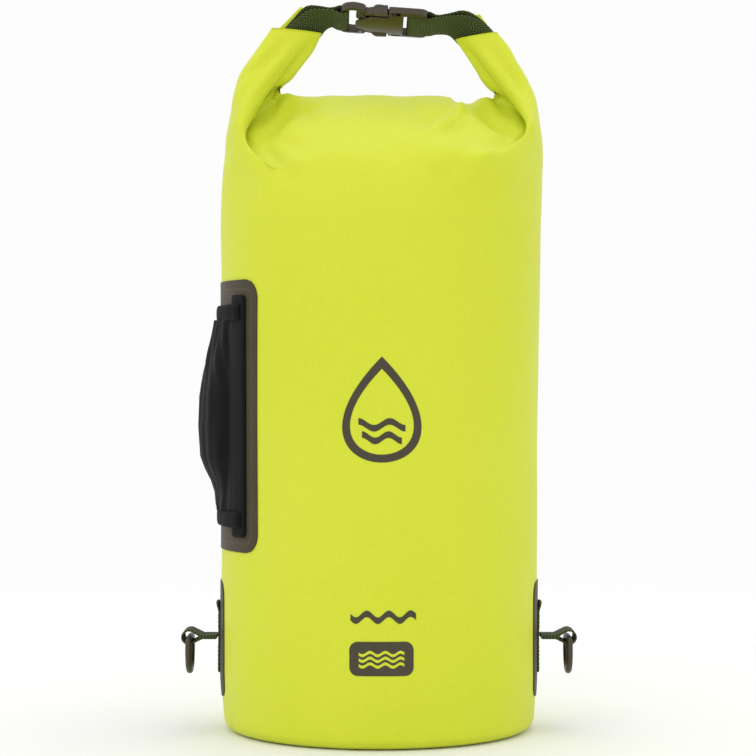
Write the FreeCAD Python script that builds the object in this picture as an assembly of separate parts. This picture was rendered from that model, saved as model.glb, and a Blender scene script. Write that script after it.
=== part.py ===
import FreeCAD, Part
import math
import os
from FreeCAD import Placement, Rotation, Vector

# A 20 litre roll-top dry bag (a stuff sack), filled, rolled shut and clipped into a carrying loop.
# Frame: millimetres, +Z up, X to the bag's right, -Y to the printed front, origin at the middle of
# the base's underside. A side mesh pocket is on the -X side, and a D-ring tab low on each side.

# ---- bag shell -------------------------------------------------------------------------------
tube_radius = 118.0            # outside of the filled tube
fabric = 0.8                   # coated fabric, one layer
base_corner = 12.0             # rounding between the base and the wall
base_flange = 18.0             # base panel's welded flange, above the rounding
shoulder_height = 400.0        # where the round tube starts to close
crown_mid_rise = 24.0          # a section half way up the closing part, above the shoulder
crown_mid_half_width = 113.0
crown_mid_half_depth = 72.0
crown_rise = 40.0              # where the front and back panels meet, above the shoulder
crown_half_width = 100.0
crown_half_depth = 12.0

# ---- rolled mouth ----------------------------------------------------------------------------
roll_height = 35.0             # the flattened roll, across
roll_thickness = 12.0
roll_half_length = 66.0        # straight middle part, between the two horns
roll_lean = 12.0               # degrees that the roll leans back from upright
stiffener_thickness = 1.6
stiffener_height = 24.0
layer_gap = 0.3                # between things that lie loose on each other

horn_foot_rise = 24.0          # the horns are the roll's two ends, bent up and inwards, above the shoulder
horn_mid_rise = 70.0
horn_tip_rise = 118.0
horn_foot = (86.0, 27.0, 58.0)     # distance from the middle, half width, half depth
horn_mid = (90.0, 20.5, 27.0)
horn_tip = (65.5, 21.0, 8.0)

# ---- webbing ---------------------------------------------------------------------------------
webbing_width = 25.0
webbing_thickness = 1.4
strap_bury = 24.0              # length of strap inside the horn
strap_clear = 2.0              # straight past the horn's end, before the strap turns
strap_join = 8.0               # the two layers part this far from the buckle's end

# ---- buckle, in its own frame: x along the strap, y across, z through its thickness -----------
buckle_offset = 3.5            # the buckle's middle, to the right of the bag's
buckle_forward = 4.0
buckle_rise = 10.0             # above the horns' tips
buckle_roll = -22.0            # degrees about the strap: the near edge is the high one
buckle_tilt = 4.0              # degrees: the socket's end is the low one
buckle_thickness = 10.0
strap_clearance = 0.7          # webbing edge to rail
rail_width = 3.8
plate_thickness = 1.8          # socket's two broad walls
arm_clearance = 0.2            # latch to plate
side_clearance = 0.3           # latch to the socket's side walls
bar_half_thickness = 2.0       # the webbing's bars are twice this, and round on the webbing's side
male_end = -32.5
male_bar_end = -27.5
male_window_end = -19.0
male_block_end = -13.5
male_narrowing = 0.6           # each side of the male frame, inside the socket's width
socket_wall_start = 3.5        # where the socket's side walls start
catch_rim_length = 2.6         # the part of the side wall that the latch hooks behind
socket_cavity_end = 12.5
socket_slot_start = 14.8
socket_bar_start = 18.8
socket_bar_end = 22.8
socket_end_bar_start = 29.3
socket_end = 32.5
tongue_tip = -21.0
tongue_half_width = 8.6
latch_pivot_x = -13.6
latch_root_radius = 1.8
latch_root_offset = 5.2        # from the buckle's edge to the latch's root
latch_pad_start = -9.4         # the squeezed part, along the buckle
latch_pad_end = 2.8
latch_pad_width = 3.6          # the full-thickness part of the squeezed end
latch_tip = 10.2
latch_barb = 2.3               # how far the hook stands out behind the rim
latch_swing = 8.0              # degrees that a squeezed arm moves in by

# ---- side pocket -----------------------------------------------------------------------------
pocket_patch_width = 176.0     # along the tube's surface
pocket_patch_height = 197.0
pocket_patch_bottom = 135.0
patch_corner = 14.0
patch_margin = 13.0            # welded border round what is sewn to a patch
tape_width = 20.0
tape_thickness = 1.2
tape_corner = 3.0
hem_height = 11.0
hem_inset = 7.0                # the tapes run past the two hems by this much
mouth_gap = 6.0                # the elastic hem stands off the patch, in its middle
mesh_thickness = 1.0
mesh_bulge = 15.5              # most that the mesh stands off the patch
mesh_bulge_heights = ((0.82, 0.62), (0.55, 1.0), (0.33, 0.97), (0.16, 0.5), (0.0, 0.06))

# ---- D-ring tabs -----------------------------------------------------------------------------
ring_patch_width = 62.0
ring_patch_height = 85.0
tab_height = 68.0              # centre of the patch and of the tab
anchor_height = 52.0           # sewn-down webbing, top to bottom
tab_reach = 28.5               # patch face to the far end of the loop
tab_stem = 11.0
tab_root_gap = 0.3
loop_inner_radius = 4.3
ring_wire_radius = 2.4
ring_side_clearance = 0.5      # webbing edge to ring
ring_inner_height = 19.4
ring_seat_gap = 0.3            # ring bar to the loop's lower wall

# ---- sizes that follow -----------------------------------------------------------------------
crown_mid_height = shoulder_height + crown_mid_rise
crown_height = shoulder_height + crown_rise
horn_foot_height = shoulder_height + horn_foot_rise
horn_mid_height = shoulder_height + horn_mid_rise
horn_tip_height = shoulder_height + horn_tip_rise
buckle_centre = Vector(buckle_offset, -buckle_forward, horn_tip_height + buckle_rise)
patch_face = tube_radius + fabric
half_rail = webbing_width / 2 + strap_clearance
buckle_half_width = half_rail + rail_width
half_thick = buckle_thickness / 2
latch_half_thick = half_thick - plate_thickness - arm_clearance
anchor_face = patch_face + webbing_thickness
loop_outer_radius = loop_inner_radius + webbing_thickness
ring_corner = ring_side_clearance + ring_wire_radius
latch_pivot_y = buckle_half_width - latch_root_offset
loop_centre_x = patch_face + tab_reach - loop_outer_radius
ring_bar_z = tab_height - (loop_inner_radius - ring_wire_radius - ring_seat_gap)
pocket_patch_top = pocket_patch_bottom + pocket_patch_height
tape_bottom = pocket_patch_bottom + patch_margin - 2.0
tape_top = pocket_patch_top - patch_margin + 2.0
pocket_half_angle = math.degrees(pocket_patch_width / 2 / tube_radius)
tape_outer_angle = pocket_half_angle - math.degrees(patch_margin / tube_radius)
tape_inner_angle = tape_outer_angle - math.degrees(tape_width / tube_radius)


# ---- helpers ---------------------------------------------------------------------------------
def save(name, shape):
    """Writes one node, checked."""
    solids = shape.Solids
    if not solids or not shape.isValid():
        raise ValueError("node " + name + " is not a valid solid")
    print(name, len(solids), "solid(s), volume", round(shape.Volume, 1))
    shape.exportStep("parts/" + name + ".step")


def slab(x0, x1, y0, y1, z0, z1):
    return Part.makeBox(x1 - x0, y1 - y0, z1 - z0, Vector(x0, y0, z0))


def rounded_wire(points, radii):
    """A closed wire in the XY plane through 2D corners, each rounded by its own radius."""
    edges = []
    starts = []
    ends = []
    count = len(points)
    for i in range(count):
        here = Vector(points[i][0], points[i][1], 0)
        before = Vector(points[i - 1][0], points[i - 1][1], 0) - here
        after = Vector(points[(i + 1) % count][0], points[(i + 1) % count][1], 0) - here
        before.normalize()
        after.normalize()
        half = before.getAngle(after) / 2
        radius = radii[i]
        if radius <= 0:
            starts.append(here)
            ends.append(here)
            continue
        reach = radius / math.tan(half)
        start = here + before * reach
        end = here + after * reach
        middle_line = before + after
        middle_line.normalize()
        middle = here + middle_line * (radius / math.sin(half) - radius)
        starts.append(start)
        ends.append(end)
        edges.append((i, Part.Arc(start, middle, end).toShape()))
    arcs = dict(edges)
    path = []
    for i in range(count):
        if i in arcs:
            path.append(arcs[i])
        following = (i + 1) % count
        if (starts[following] - ends[i]).Length > 1e-6:
            path.append(Part.LineSegment(ends[i], starts[following]).toShape())
    return Part.Wire(path)


def rounded_prism(points, radii, z0, z1):
    face = Part.Face(rounded_wire(points, radii))
    face.translate(Vector(0, 0, z0))
    return face.extrude(Vector(0, 0, z1 - z0))


def stand_on_side(shape, side):
    """Turns a prism drawn in XY (x across, y up) and extruded along +Z so that it runs out along side * X."""
    turned = shape.copy()
    turned.Placement = Placement(Vector(0, 0, 0), Rotation(Vector(0, side, 0), Vector(0, 0, 1), Vector(side, 0, 0), "ZXY"))
    return turned


def ellipse_wire(centre_x, centre_y, height, half_width, half_depth):
    """A level ellipse that starts at its +X end whichever half axis is the longer, so lofts don't twist."""
    if half_width >= half_depth:
        curve = Part.Ellipse(Vector(half_width, 0, 0), Vector(0, half_depth, 0), Vector(0, 0, 0))
        wire = Part.Wire(curve.toShape())
    else:
        curve = Part.Ellipse(Vector(0, half_depth, 0), Vector(-half_width, 0, 0), Vector(0, 0, 0))
        quarter = math.pi / 2
        wire = Part.Wire(curve.toShape(-quarter, 2 * math.pi - quarter))
    wire.translate(Vector(centre_x, centre_y, height))
    return wire


def band(r0, r1, z0, z1, angle0, angle1):
    """A piece of a cylinder's wall on the -X side. Angles run from -X towards the front, in degrees."""
    outline = Part.makePolygon([Vector(-r0, 0, z0), Vector(-r1, 0, z0), Vector(-r1, 0, z1), Vector(-r0, 0, z1), Vector(-r0, 0, z0)])
    face = Part.Face(outline)
    face.rotate(Vector(0, 0, 0), Vector(0, 0, 1), angle0)
    return face.revolve(Vector(0, 0, 0), Vector(0, 0, 1), angle1 - angle0)


def on_wall(angle, radius, height):
    """A point on the -X side, at an angle towards the front."""
    a = math.radians(angle)
    return Vector(-radius * math.cos(a), -radius * math.sin(a), height)


def mirrored(shape):
    return shape.mirror(Vector(0, 0, 0), Vector(1, 0, 0))


# ---- bag shell -------------------------------------------------------------------------------
def bag_outline(inset):
    """The closed bag without its base, from the rounding up. inset is the distance inside the outer face."""
    wall = Part.makeCylinder(tube_radius - inset, shoulder_height - base_corner, Vector(0, 0, base_corner))
    sections = [
        ellipse_wire(0, 0, shoulder_height, tube_radius - inset, tube_radius - inset),
        ellipse_wire(0, 0, crown_mid_height - inset, crown_mid_half_width - inset, crown_mid_half_depth - inset),
        ellipse_wire(0, 0, crown_height - inset, crown_half_width - inset, crown_half_depth - inset),
    ]
    return wall.fuse(Part.makeLoft(sections, True, True))


def body_tube():
    return bag_outline(0).cut(bag_outline(fabric))


def base_panel():
    """A dish: flat disc, rounded corner, and a flange that is welded inside the tube's lower edge."""
    outer = tube_radius - fabric
    inner = outer - fabric
    flat = outer - base_corner
    top = base_corner + base_flange
    turn = math.sqrt(0.5)
    inside_radius = base_corner - fabric
    outside_mid = Vector(flat + base_corner * turn, 0, base_corner - base_corner * turn)
    inside_mid = Vector(flat + inside_radius * turn, 0, base_corner - inside_radius * turn)
    edges = [
        Part.LineSegment(Vector(0, 0, 0), Vector(flat, 0, 0)).toShape(),
        Part.Arc(Vector(flat, 0, 0), outside_mid, Vector(outer, 0, base_corner)).toShape(),
        Part.LineSegment(Vector(outer, 0, base_corner), Vector(outer, 0, top)).toShape(),
        Part.LineSegment(Vector(outer, 0, top), Vector(inner, 0, top)).toShape(),
        Part.LineSegment(Vector(inner, 0, top), Vector(inner, 0, base_corner)).toShape(),
        Part.Arc(Vector(inner, 0, base_corner), inside_mid, Vector(flat, 0, fabric)).toShape(),
        Part.LineSegment(Vector(flat, 0, fabric), Vector(0, 0, fabric)).toShape(),
        Part.LineSegment(Vector(0, 0, fabric), Vector(0, 0, 0)).toShape(),
    ]
    return Part.Face(Part.Wire(edges)).revolve(Vector(0, 0, 0), Vector(0, 0, 1), 360)


# ---- rolled mouth ----------------------------------------------------------------------------
def lean_back(shape):
    """Moves something drawn round the roll's own centre to its place on the crown."""
    a = math.radians(roll_lean)
    reach = (roll_height - roll_thickness) / 2
    centre = Vector(0, reach * math.sin(a), crown_height + roll_thickness / 2 + reach * math.cos(a))
    placed = shape.copy()
    placed.rotate(Vector(0, 0, 0), Vector(1, 0, 0), -roll_lean)
    placed.translate(centre)
    return placed


def flat_bar(half_length, height, thickness):
    """A bar along X with rounded long edges, upright, round the origin."""
    straight = height - thickness
    core = slab(-half_length, half_length, -thickness / 2, thickness / 2, -straight / 2, straight / 2)
    top = Part.makeCylinder(thickness / 2, 2 * half_length, Vector(-half_length, 0, straight / 2), Vector(1, 0, 0))
    low = Part.makeCylinder(thickness / 2, 2 * half_length, Vector(-half_length, 0, -straight / 2), Vector(1, 0, 0))
    return core.fuse(top).fuse(low).removeSplitter()


def stiffener_hole():
    half = stiffener_thickness / 2 + webbing_thickness / 2 + layer_gap
    height = max(stiffener_height, webbing_width) / 2 + layer_gap
    return slab(-roll_half_length, roll_half_length, -half, half, -height, height)


def roll_middle():
    return lean_back(flat_bar(roll_half_length, roll_height, roll_thickness).cut(stiffener_hole())).cut(bag_outline(0))


def mouth_stiffener():
    y = -webbing_thickness / 2
    half = stiffener_thickness / 2
    return lean_back(slab(-roll_half_length, roll_half_length, y - half, y + half, -stiffener_height / 2, stiffener_height / 2))


def mouth_webbing():
    y = stiffener_thickness / 2
    half = webbing_thickness / 2
    return lean_back(slab(-roll_half_length, roll_half_length, y - half, y + half, -webbing_width / 2, webbing_width / 2))


def horn_solid():
    """The left horn, before the strap's slot is cut."""
    sections = []
    for height, size in ((horn_foot_height, horn_foot), (horn_mid_height, horn_mid), (horn_tip_height, horn_tip)):
        sections.append(ellipse_wire(-size[0], 0, height, size[1], size[2]))
    return Part.makeLoft(sections, True, False).cut(bag_outline(0)).cut(roll_envelope())


def roll_envelope():
    clear = roll_half_length + layer_gap
    return lean_back(flat_bar(clear, roll_height + 2 * layer_gap, roll_thickness + 2 * layer_gap))


# ---- straps between the horns and the buckle ---------------------------------------------------
def buckle_place(shape):
    placed = shape.copy()
    placed.rotate(Vector(0, 0, 0), Vector(1, 0, 0), buckle_roll)
    placed.rotate(Vector(0, 0, 0), Vector(0, 1, 0), buckle_tilt)
    placed.translate(buckle_centre)
    return placed


def buckle_point(x, y, z):
    turn = Rotation(Vector(0, 1, 0), buckle_tilt).multiply(Rotation(Vector(1, 0, 0), buckle_roll))
    return turn.multVec(Vector(x, y, z)) + buckle_centre


def strip_section(centre, across, through, width, thickness):
    a = across * (width / 2)
    t = through * (thickness / 2)
    return Part.makePolygon([centre - a - t, centre + a - t, centre + a + t, centre - a + t, centre - a - t])


def strap_run(side, join_x):
    """The doubled webbing from inside a horn to where it parts round the buckle's bar. side is -1 for the left."""
    doubled = 2 * webbing_thickness
    lean = Vector(-side * (horn_mid[0] - horn_tip[0]), 0, horn_tip_height - horn_mid_height)
    lean.normalize()
    tip = Vector(side * horn_tip[0], 0, horn_tip_height)
    tip_across = Vector(-side * lean.z, 0, lean.x * side)
    tip_through = Vector(0, 1, 0)
    join = buckle_point(join_x, 0, 0)
    buckle_across = (buckle_point(join_x, 1, 0) - join) * -side
    buckle_through = buckle_point(join_x, 0, 1) - join
    start = tip - lean * strap_bury
    clear = tip + lean * strap_clear
    way = join - clear
    way.normalize()
    mid_across = tip_across + buckle_across
    mid_across = mid_across - way * mid_across.dot(way)
    mid_across.normalize()
    mid_through = way.cross(mid_across)
    if mid_through.dot(tip_through) < 0:
        mid_through = mid_through * -1.0
    sections = [
        strip_section(start, tip_across, tip_through, webbing_width, doubled),
        strip_section(clear, tip_across, tip_through, webbing_width, doubled),
        strip_section((clear + join) * 0.5, mid_across, mid_through, webbing_width, doubled),
        strip_section(join, buckle_across, buckle_through, webbing_width, doubled),
    ]
    return Part.makeLoft(sections, True, True)


def strap_eye(turn_x, end_x, join_x):
    """The parted layers and the turn round a bar centred on turn_x, in the buckle's frame."""
    inner = bar_half_thickness + layer_gap
    outer = inner + webbing_thickness
    half = webbing_width / 2
    way = math.copysign(1, join_x)
    eye = Part.makeCylinder(outer, webbing_width, Vector(turn_x, -half, 0), Vector(0, 1, 0))
    eye = eye.cut(Part.makeCylinder(inner, webbing_width, Vector(turn_x, -half, 0), Vector(0, 1, 0)))
    ends = sorted((turn_x, turn_x + way * 2 * outer))
    eye = eye.cut(slab(ends[0], ends[1], -half, half, -outer, outer))
    for face in (-1, 1):
        outline = [
            Vector(turn_x, -half, face * inner),
            Vector(end_x, -half, face * inner),
            Vector(join_x, -half, 0),
            Vector(join_x, -half, face * webbing_thickness),
            Vector(end_x, -half, face * outer),
            Vector(turn_x, -half, face * outer),
            Vector(turn_x, -half, face * inner),
        ]
        eye = eye.fuse(Part.Face(Part.makePolygon(outline)).extrude(Vector(0, webbing_width, 0)))
    return buckle_place(eye.removeSplitter())


# ---- buckle ----------------------------------------------------------------------------------
def buckle_skin(x0, x1):
    """A lens-shaped envelope that rounds the buckle's broad faces towards its two long edges."""
    radius = (buckle_half_width ** 2 + 36.0) / 12.0 * 2.2
    rise = radius - half_thick
    length = x1 - x0
    top = Part.makeCylinder(radius, length, Vector(x0, 0, -rise), Vector(1, 0, 0))
    low = Part.makeCylinder(radius, length, Vector(x0, 0, rise), Vector(1, 0, 0))
    return top.common(low)


def round_bar(x, half_length):
    """The round side of a bar that the webbing turns over."""
    return Part.makeCylinder(bar_half_thickness, 2 * half_length, Vector(x, -half_length, 0), Vector(0, 1, 0))


def thin_bar(body, x0, x1):
    """Cuts a bar between the rails down to its own thickness."""
    for face in (-1, 1):
        z = sorted((face * bar_half_thickness, face * half_thick))
        body = body.cut(slab(x0, x1, -half_rail, half_rail, z[0], z[1]))
    return body


def male_half():
    """Strap frame, block and centre guide. The block has a round seat for each latch arm's root."""
    w = buckle_half_width - male_narrowing
    thick = half_thick - 0.5
    frame = rounded_prism([(male_end, -w), (male_block_end, -w), (male_block_end, w), (male_end, w)], [6.0, 3.0, 3.0, 6.0], -thick, thick)
    body = frame.common(buckle_skin(male_end, male_block_end))
    turn_x = male_bar_end - bar_half_thickness
    body = body.cut(slab(turn_x, male_window_end, -half_rail, half_rail, -half_thick, half_thick))
    body = thin_bar(body, male_end - 1, turn_x).fuse(round_bar(turn_x, half_rail))
    recess = tongue_half_width + 0.4
    for face in (-1, 1):
        z = sorted((face * latch_half_thick, face * half_thick))
        body = body.cut(slab(tongue_tip - 1, male_block_end, -recess, recess, z[0], z[1]))
    guide = rounded_prism([(male_block_end - 1, -3), (7, -2.4), (7, 2.4), (male_block_end - 1, 3)], [0, 1.5, 1.5, 0], -latch_half_thick, latch_half_thick)
    body = body.fuse(guide)
    for side in (-1, 1):
        seat = Vector(latch_pivot_x, side * latch_pivot_y, -half_thick)
        body = body.cut(Part.makeCylinder(latch_root_radius + arm_clearance, buckle_thickness, seat))
    return body.removeSplitter()


def latch_arm(side):
    """One sprung arm: a root, a squeezed pad and a hook behind the socket's rim. side is +1 or -1 across."""
    under = half_rail - side_clearance
    hook = socket_wall_start + catch_rim_length + 0.4
    edge = buckle_half_width - 0.8
    arm_outline = [
        (latch_pivot_x + 0.4, latch_pivot_y - 1.6),
        (latch_tip, under - 3.2),
        (latch_tip, under + 0.4),
        (hook, under + latch_barb),
        (hook, under),
        (latch_pad_end, under),
        (latch_pad_end, edge),
        (latch_pad_start + 3.5, edge + 0.4),
        (latch_pad_start, latch_pivot_y + 2.4),
        (latch_pivot_x + 0.4, latch_pivot_y + 1.6),
    ]
    pad_inner = buckle_half_width - latch_pad_width
    pad_outline = [
        (latch_pad_start + 1, pad_inner),
        (latch_pad_end, pad_inner),
        (latch_pad_end, edge),
        (latch_pad_start + 3.5, edge + 0.4),
    ]
    arm = rounded_prism([(x, side * y) for x, y in arm_outline], [0, 1.2, 1.2, 0.4, 0, 0, 0.8, 2.5, 1.5, 0], -latch_half_thick, latch_half_thick)
    root = Part.makeCylinder(latch_root_radius, 2 * latch_half_thick, Vector(latch_pivot_x, side * latch_pivot_y, -latch_half_thick))
    thick = half_thick - 0.7
    pad = rounded_prism([(x, side * y) for x, y in pad_outline], [0, 0, 0.8, 2.5], -thick, thick)
    return arm.fuse(root).fuse(pad).removeSplitter()


def socket_half():
    """Broad walls with a tongue, side walls with the catch rims, and the strap frame with two bars."""
    w = buckle_half_width
    t = half_thick
    shell = rounded_prism([(socket_wall_start, -w), (socket_end, -w), (socket_end, w), (socket_wall_start, w)], [1.0, 6.0, 6.0, 1.0], -t, t)
    squeeze_room = (latch_pad_end - latch_pivot_x) * math.tan(math.radians(latch_swing))
    plate_half = w - latch_pad_width - squeeze_room - 0.5
    plate_edge = [
        (socket_wall_start + 1, plate_half),
        (latch_pad_start, plate_half),
        (male_block_end + 0.4, tongue_half_width),
        (tongue_tip, tongue_half_width / 2),
    ]
    outline = plate_edge + [(x, -y) for x, y in reversed(plate_edge)]
    plate = rounded_prism(outline, [0, 2.0, 2.0, 3.5, 3.5, 2.0, 2.0, 0], -t, t)
    body = shell.fuse(plate).common(buckle_skin(tongue_tip, socket_end))
    inside = t - plate_thickness
    rim_end = socket_wall_start + catch_rim_length
    body = body.cut(slab(tongue_tip - 1, rim_end, -half_rail, half_rail, -inside, inside))
    recess = half_rail + latch_barb + 0.3
    body = body.cut(slab(rim_end, socket_cavity_end, -recess, recess, -inside, inside))
    turn_x = socket_bar_start + bar_half_thickness
    body = body.cut(slab(socket_slot_start, turn_x, -half_rail, half_rail, -t, t))
    body = body.cut(slab(socket_bar_end, socket_end_bar_start, -half_rail, half_rail, -t, t))
    body = thin_bar(body, turn_x, socket_bar_end).fuse(round_bar(turn_x, half_rail))
    return thin_bar(body, socket_end_bar_start, socket_end + 1).removeSplitter()


# ---- side pocket -----------------------------------------------------------------------------
def wall_patch(side, width, height, bottom):
    """A rounded sheet welded on the tube. side is -1 for the bag's left."""
    half = tube_radius * math.sin(width / 2 / tube_radius)
    outline = [(-half, bottom), (half, bottom), (half, bottom + height), (-half, bottom + height)]
    face = Part.Face(rounded_wire(outline, [patch_corner] * 4))
    face.rotate(Vector(0, 0, 0), Vector(1, 0, 0), 90)
    face.rotate(Vector(0, 0, 0), Vector(0, 0, 1), 90)
    prism = face.extrude(Vector(side * (patch_face + 1), 0, 0))
    shell = Part.makeCylinder(patch_face, height, Vector(0, 0, bottom)).cut(Part.makeCylinder(tube_radius, height, Vector(0, 0, bottom)))
    return shell.common(prism)


def pocket_tape(side):
    """One bound edge of the pocket. side is +1 towards the front, -1 towards the back."""
    outer = patch_face + tape_thickness
    angles = sorted((side * tape_inner_angle, side * tape_outer_angle))
    return band(patch_face, outer, tape_bottom, tape_top, angles[0], angles[1])


def crescent(height, bulge, thickness):
    """The closed outline of a sheet that spans the two tapes and stands off the patch by bulge in its middle."""
    low = patch_face
    inner = Part.Arc(on_wall(-tape_inner_angle, low, height), on_wall(0, low + bulge, height), on_wall(tape_inner_angle, low, height))
    outer = Part.Arc(on_wall(tape_inner_angle, low + thickness, height), on_wall(0, low + bulge + thickness, height), on_wall(-tape_inner_angle, low + thickness, height))
    side_a = Part.LineSegment(on_wall(tape_inner_angle, low, height), on_wall(tape_inner_angle, low + thickness, height))
    side_b = Part.LineSegment(on_wall(-tape_inner_angle, low + thickness, height), on_wall(-tape_inner_angle, low, height))
    return Part.Wire([inner.toShape(), side_a.toShape(), outer.toShape(), side_b.toShape()])


def pocket_hem():
    """The elastic edge of the pocket's mouth."""
    return Part.Face(crescent(tape_top - hem_inset - hem_height, mouth_gap, tape_thickness)).extrude(Vector(0, 0, hem_height))


def pocket_foot():
    """The pocket's lower edge, sewn down."""
    return band(patch_face, patch_face + tape_thickness, tape_bottom + hem_inset, tape_bottom + hem_inset + hem_height, -tape_inner_angle, tape_inner_angle)


def pocket_mesh():
    """The gathered mesh panel, from the foot up to the hem."""
    low = tape_bottom + hem_inset + hem_height
    high = tape_top - hem_inset - hem_height
    sections = [crescent(high, mouth_gap, mesh_thickness)]
    for share, rise in mesh_bulge_heights:
        sections.append(crescent(low + share * (high - low), rise * mesh_bulge, mesh_thickness))
    return Part.makeLoft(sections, True, False)


# ---- D-ring tabs -----------------------------------------------------------------------------
def ring_anchor():
    """Webbing sewn flat on the left patch, above and below the tab."""
    half = math.degrees(webbing_width / 2 / patch_face)
    return band(patch_face, anchor_face, tab_height - anchor_height / 2, tab_height + anchor_height / 2, -half, half)


def tangent_point(from_x, from_z, centre_x, radius, upper):
    """Where a line from a point touches a circle centred on the X axis at centre_x."""
    dx = from_x - centre_x
    reach = math.hypot(dx, from_z)
    base = math.atan2(from_z, dx)
    turn = math.acos(radius / reach)
    angle = base + turn if upper else base - turn
    return Vector(centre_x + radius * math.cos(angle), 0, radius * math.sin(angle))


def loop_outline(stem_x, stem_half, radius):
    """A teardrop: from the stem's end round the ring's bar and back."""
    centre = -loop_centre_x
    upper = tangent_point(stem_x, stem_half, centre, radius, True)
    lower = Vector(upper.x, 0, -upper.z)
    far = Vector(centre - radius, 0, 0)
    return upper, far, lower


def ring_tab():
    """The left tab: a doubled stem with a rounded root, and a loop that holds the ring. It lies along -X."""
    doubled = webbing_thickness
    root = -(anchor_face + tab_root_gap)
    pivot = root - doubled
    stem_end = root - tab_stem
    upper, far, lower = loop_outline(stem_end, doubled, loop_outer_radius)
    outer = Part.Wire([
        Part.Arc(Vector(pivot, 0, -doubled), Vector(root, 0, 0), Vector(pivot, 0, doubled)).toShape(),
        Part.LineSegment(Vector(pivot, 0, doubled), Vector(stem_end, 0, doubled)).toShape(),
        Part.LineSegment(Vector(stem_end, 0, doubled), upper).toShape(),
        Part.Arc(upper, far, lower).toShape(),
        Part.LineSegment(lower, Vector(stem_end, 0, -doubled)).toShape(),
        Part.LineSegment(Vector(stem_end, 0, -doubled), Vector(pivot, 0, -doubled)).toShape(),
    ])
    point = Vector(stem_end - doubled, 0, 0)
    upper, far, lower = loop_outline(point.x, 0, loop_inner_radius)
    inner = Part.Wire([
        Part.LineSegment(point, upper).toShape(),
        Part.Arc(upper, far, lower).toShape(),
        Part.LineSegment(lower, point).toShape(),
    ])
    across = Vector(0, webbing_width, 0)
    solid = Part.Face(outer).extrude(across).cut(Part.Face(inner).extrude(across))
    solid.translate(Vector(0, -webbing_width / 2, tab_height))
    return solid


def d_ring():
    """A D: a straight bar through the loop, two short sides and a half-round bow that hangs down."""
    half = webbing_width / 2 + ring_side_clearance + ring_wire_radius
    x = -loop_centre_x
    top = ring_bar_z
    drop = ring_inner_height + 2 * ring_wire_radius
    spring = top - (drop - half)
    r = ring_corner
    turn = r * (1 - math.sqrt(0.5))
    corner_a = Part.Arc(Vector(x, half - r, top), Vector(x, half - turn, top - turn), Vector(x, half, top - r))
    corner_b = Part.Arc(Vector(x, -half, top - r), Vector(x, -half + turn, top - turn), Vector(x, -half + r, top))
    path = Part.Wire([
        Part.LineSegment(Vector(x, -half + r, top), Vector(x, half - r, top)).toShape(),
        corner_a.toShape(),
        Part.LineSegment(Vector(x, half, top - r), Vector(x, half, spring)).toShape(),
        Part.Arc(Vector(x, half, spring), Vector(x, 0, spring - half), Vector(x, -half, spring)).toShape(),
        Part.LineSegment(Vector(x, -half, spring), Vector(x, -half, top - r)).toShape(),
        corner_b.toShape(),
    ])
    profile = Part.Wire(Part.makeCircle(ring_wire_radius, Vector(x, -half + r, top), Vector(0, 1, 0)))
    return path.makePipeShell([profile], True, True)


# ---- build -----------------------------------------------------------------------------------
def main():
    os.makedirs("parts", exist_ok=True)
    save("body_tube", body_tube())
    save("base_panel", base_panel())
    save("roll_middle", roll_middle())
    save("mouth_stiffener", mouth_stiffener())
    save("mouth_webbing", mouth_webbing())

    horn = horn_solid()
    left_join = male_end - strap_join
    right_join = socket_end + strap_join
    left_run = strap_run(-1, left_join)
    right_run = strap_run(1, right_join)
    save("left_horn", horn.cut(left_run))
    save("right_horn", mirrored(horn).cut(right_run))
    save("left_strap", left_run.fuse(strap_eye(male_bar_end - bar_half_thickness, male_end, left_join)))
    save("right_strap", right_run.fuse(strap_eye(socket_bar_start + bar_half_thickness, socket_end, right_join)))

    save("buckle_male", buckle_place(male_half()))
    save("latch_arm_near", buckle_place(latch_arm(-1)))
    save("latch_arm_far", buckle_place(latch_arm(1)))
    save("buckle_socket", buckle_place(socket_half()))

    save("pocket_patch", wall_patch(-1, pocket_patch_width, pocket_patch_height, pocket_patch_bottom))
    save("pocket_tape_front", pocket_tape(1))
    save("pocket_tape_back", pocket_tape(-1))
    save("pocket_hem", pocket_hem())
    save("pocket_foot", pocket_foot())
    save("pocket_mesh", pocket_mesh())

    patch = wall_patch(-1, ring_patch_width, ring_patch_height, tab_height - ring_patch_height / 2)
    pieces = {"patch": patch, "anchor": ring_anchor(), "tab": ring_tab(), "ring": d_ring()}
    for name, shape in pieces.items():
        save("left_ring_" + name, shape)
        save("right_ring_" + name, mirrored(shape))


main()
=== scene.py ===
"""The looks of a filled roll-top dry bag with a side mesh pocket, built round its packed frame."""
import math

import bmesh
import bpy
import numpy as np
from mathutils import Matrix, Vector


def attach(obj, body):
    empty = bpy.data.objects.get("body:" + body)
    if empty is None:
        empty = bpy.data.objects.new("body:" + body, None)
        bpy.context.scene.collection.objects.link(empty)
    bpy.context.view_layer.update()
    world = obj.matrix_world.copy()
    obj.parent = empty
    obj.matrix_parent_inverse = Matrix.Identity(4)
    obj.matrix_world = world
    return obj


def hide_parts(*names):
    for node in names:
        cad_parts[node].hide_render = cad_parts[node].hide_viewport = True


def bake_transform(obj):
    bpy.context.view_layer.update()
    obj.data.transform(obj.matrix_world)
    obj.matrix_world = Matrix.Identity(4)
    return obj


bl_info = {
    "name": "Roll-top dry bag",
    "version": (1, 0, 0),
    "blender": (4, 5, 0),
    "location": "3D View > Sidebar > Dry bag",
    "description": "Builds a filled roll-top dry bag piece by piece round its packed frame",
    "category": "Object",
}

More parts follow.
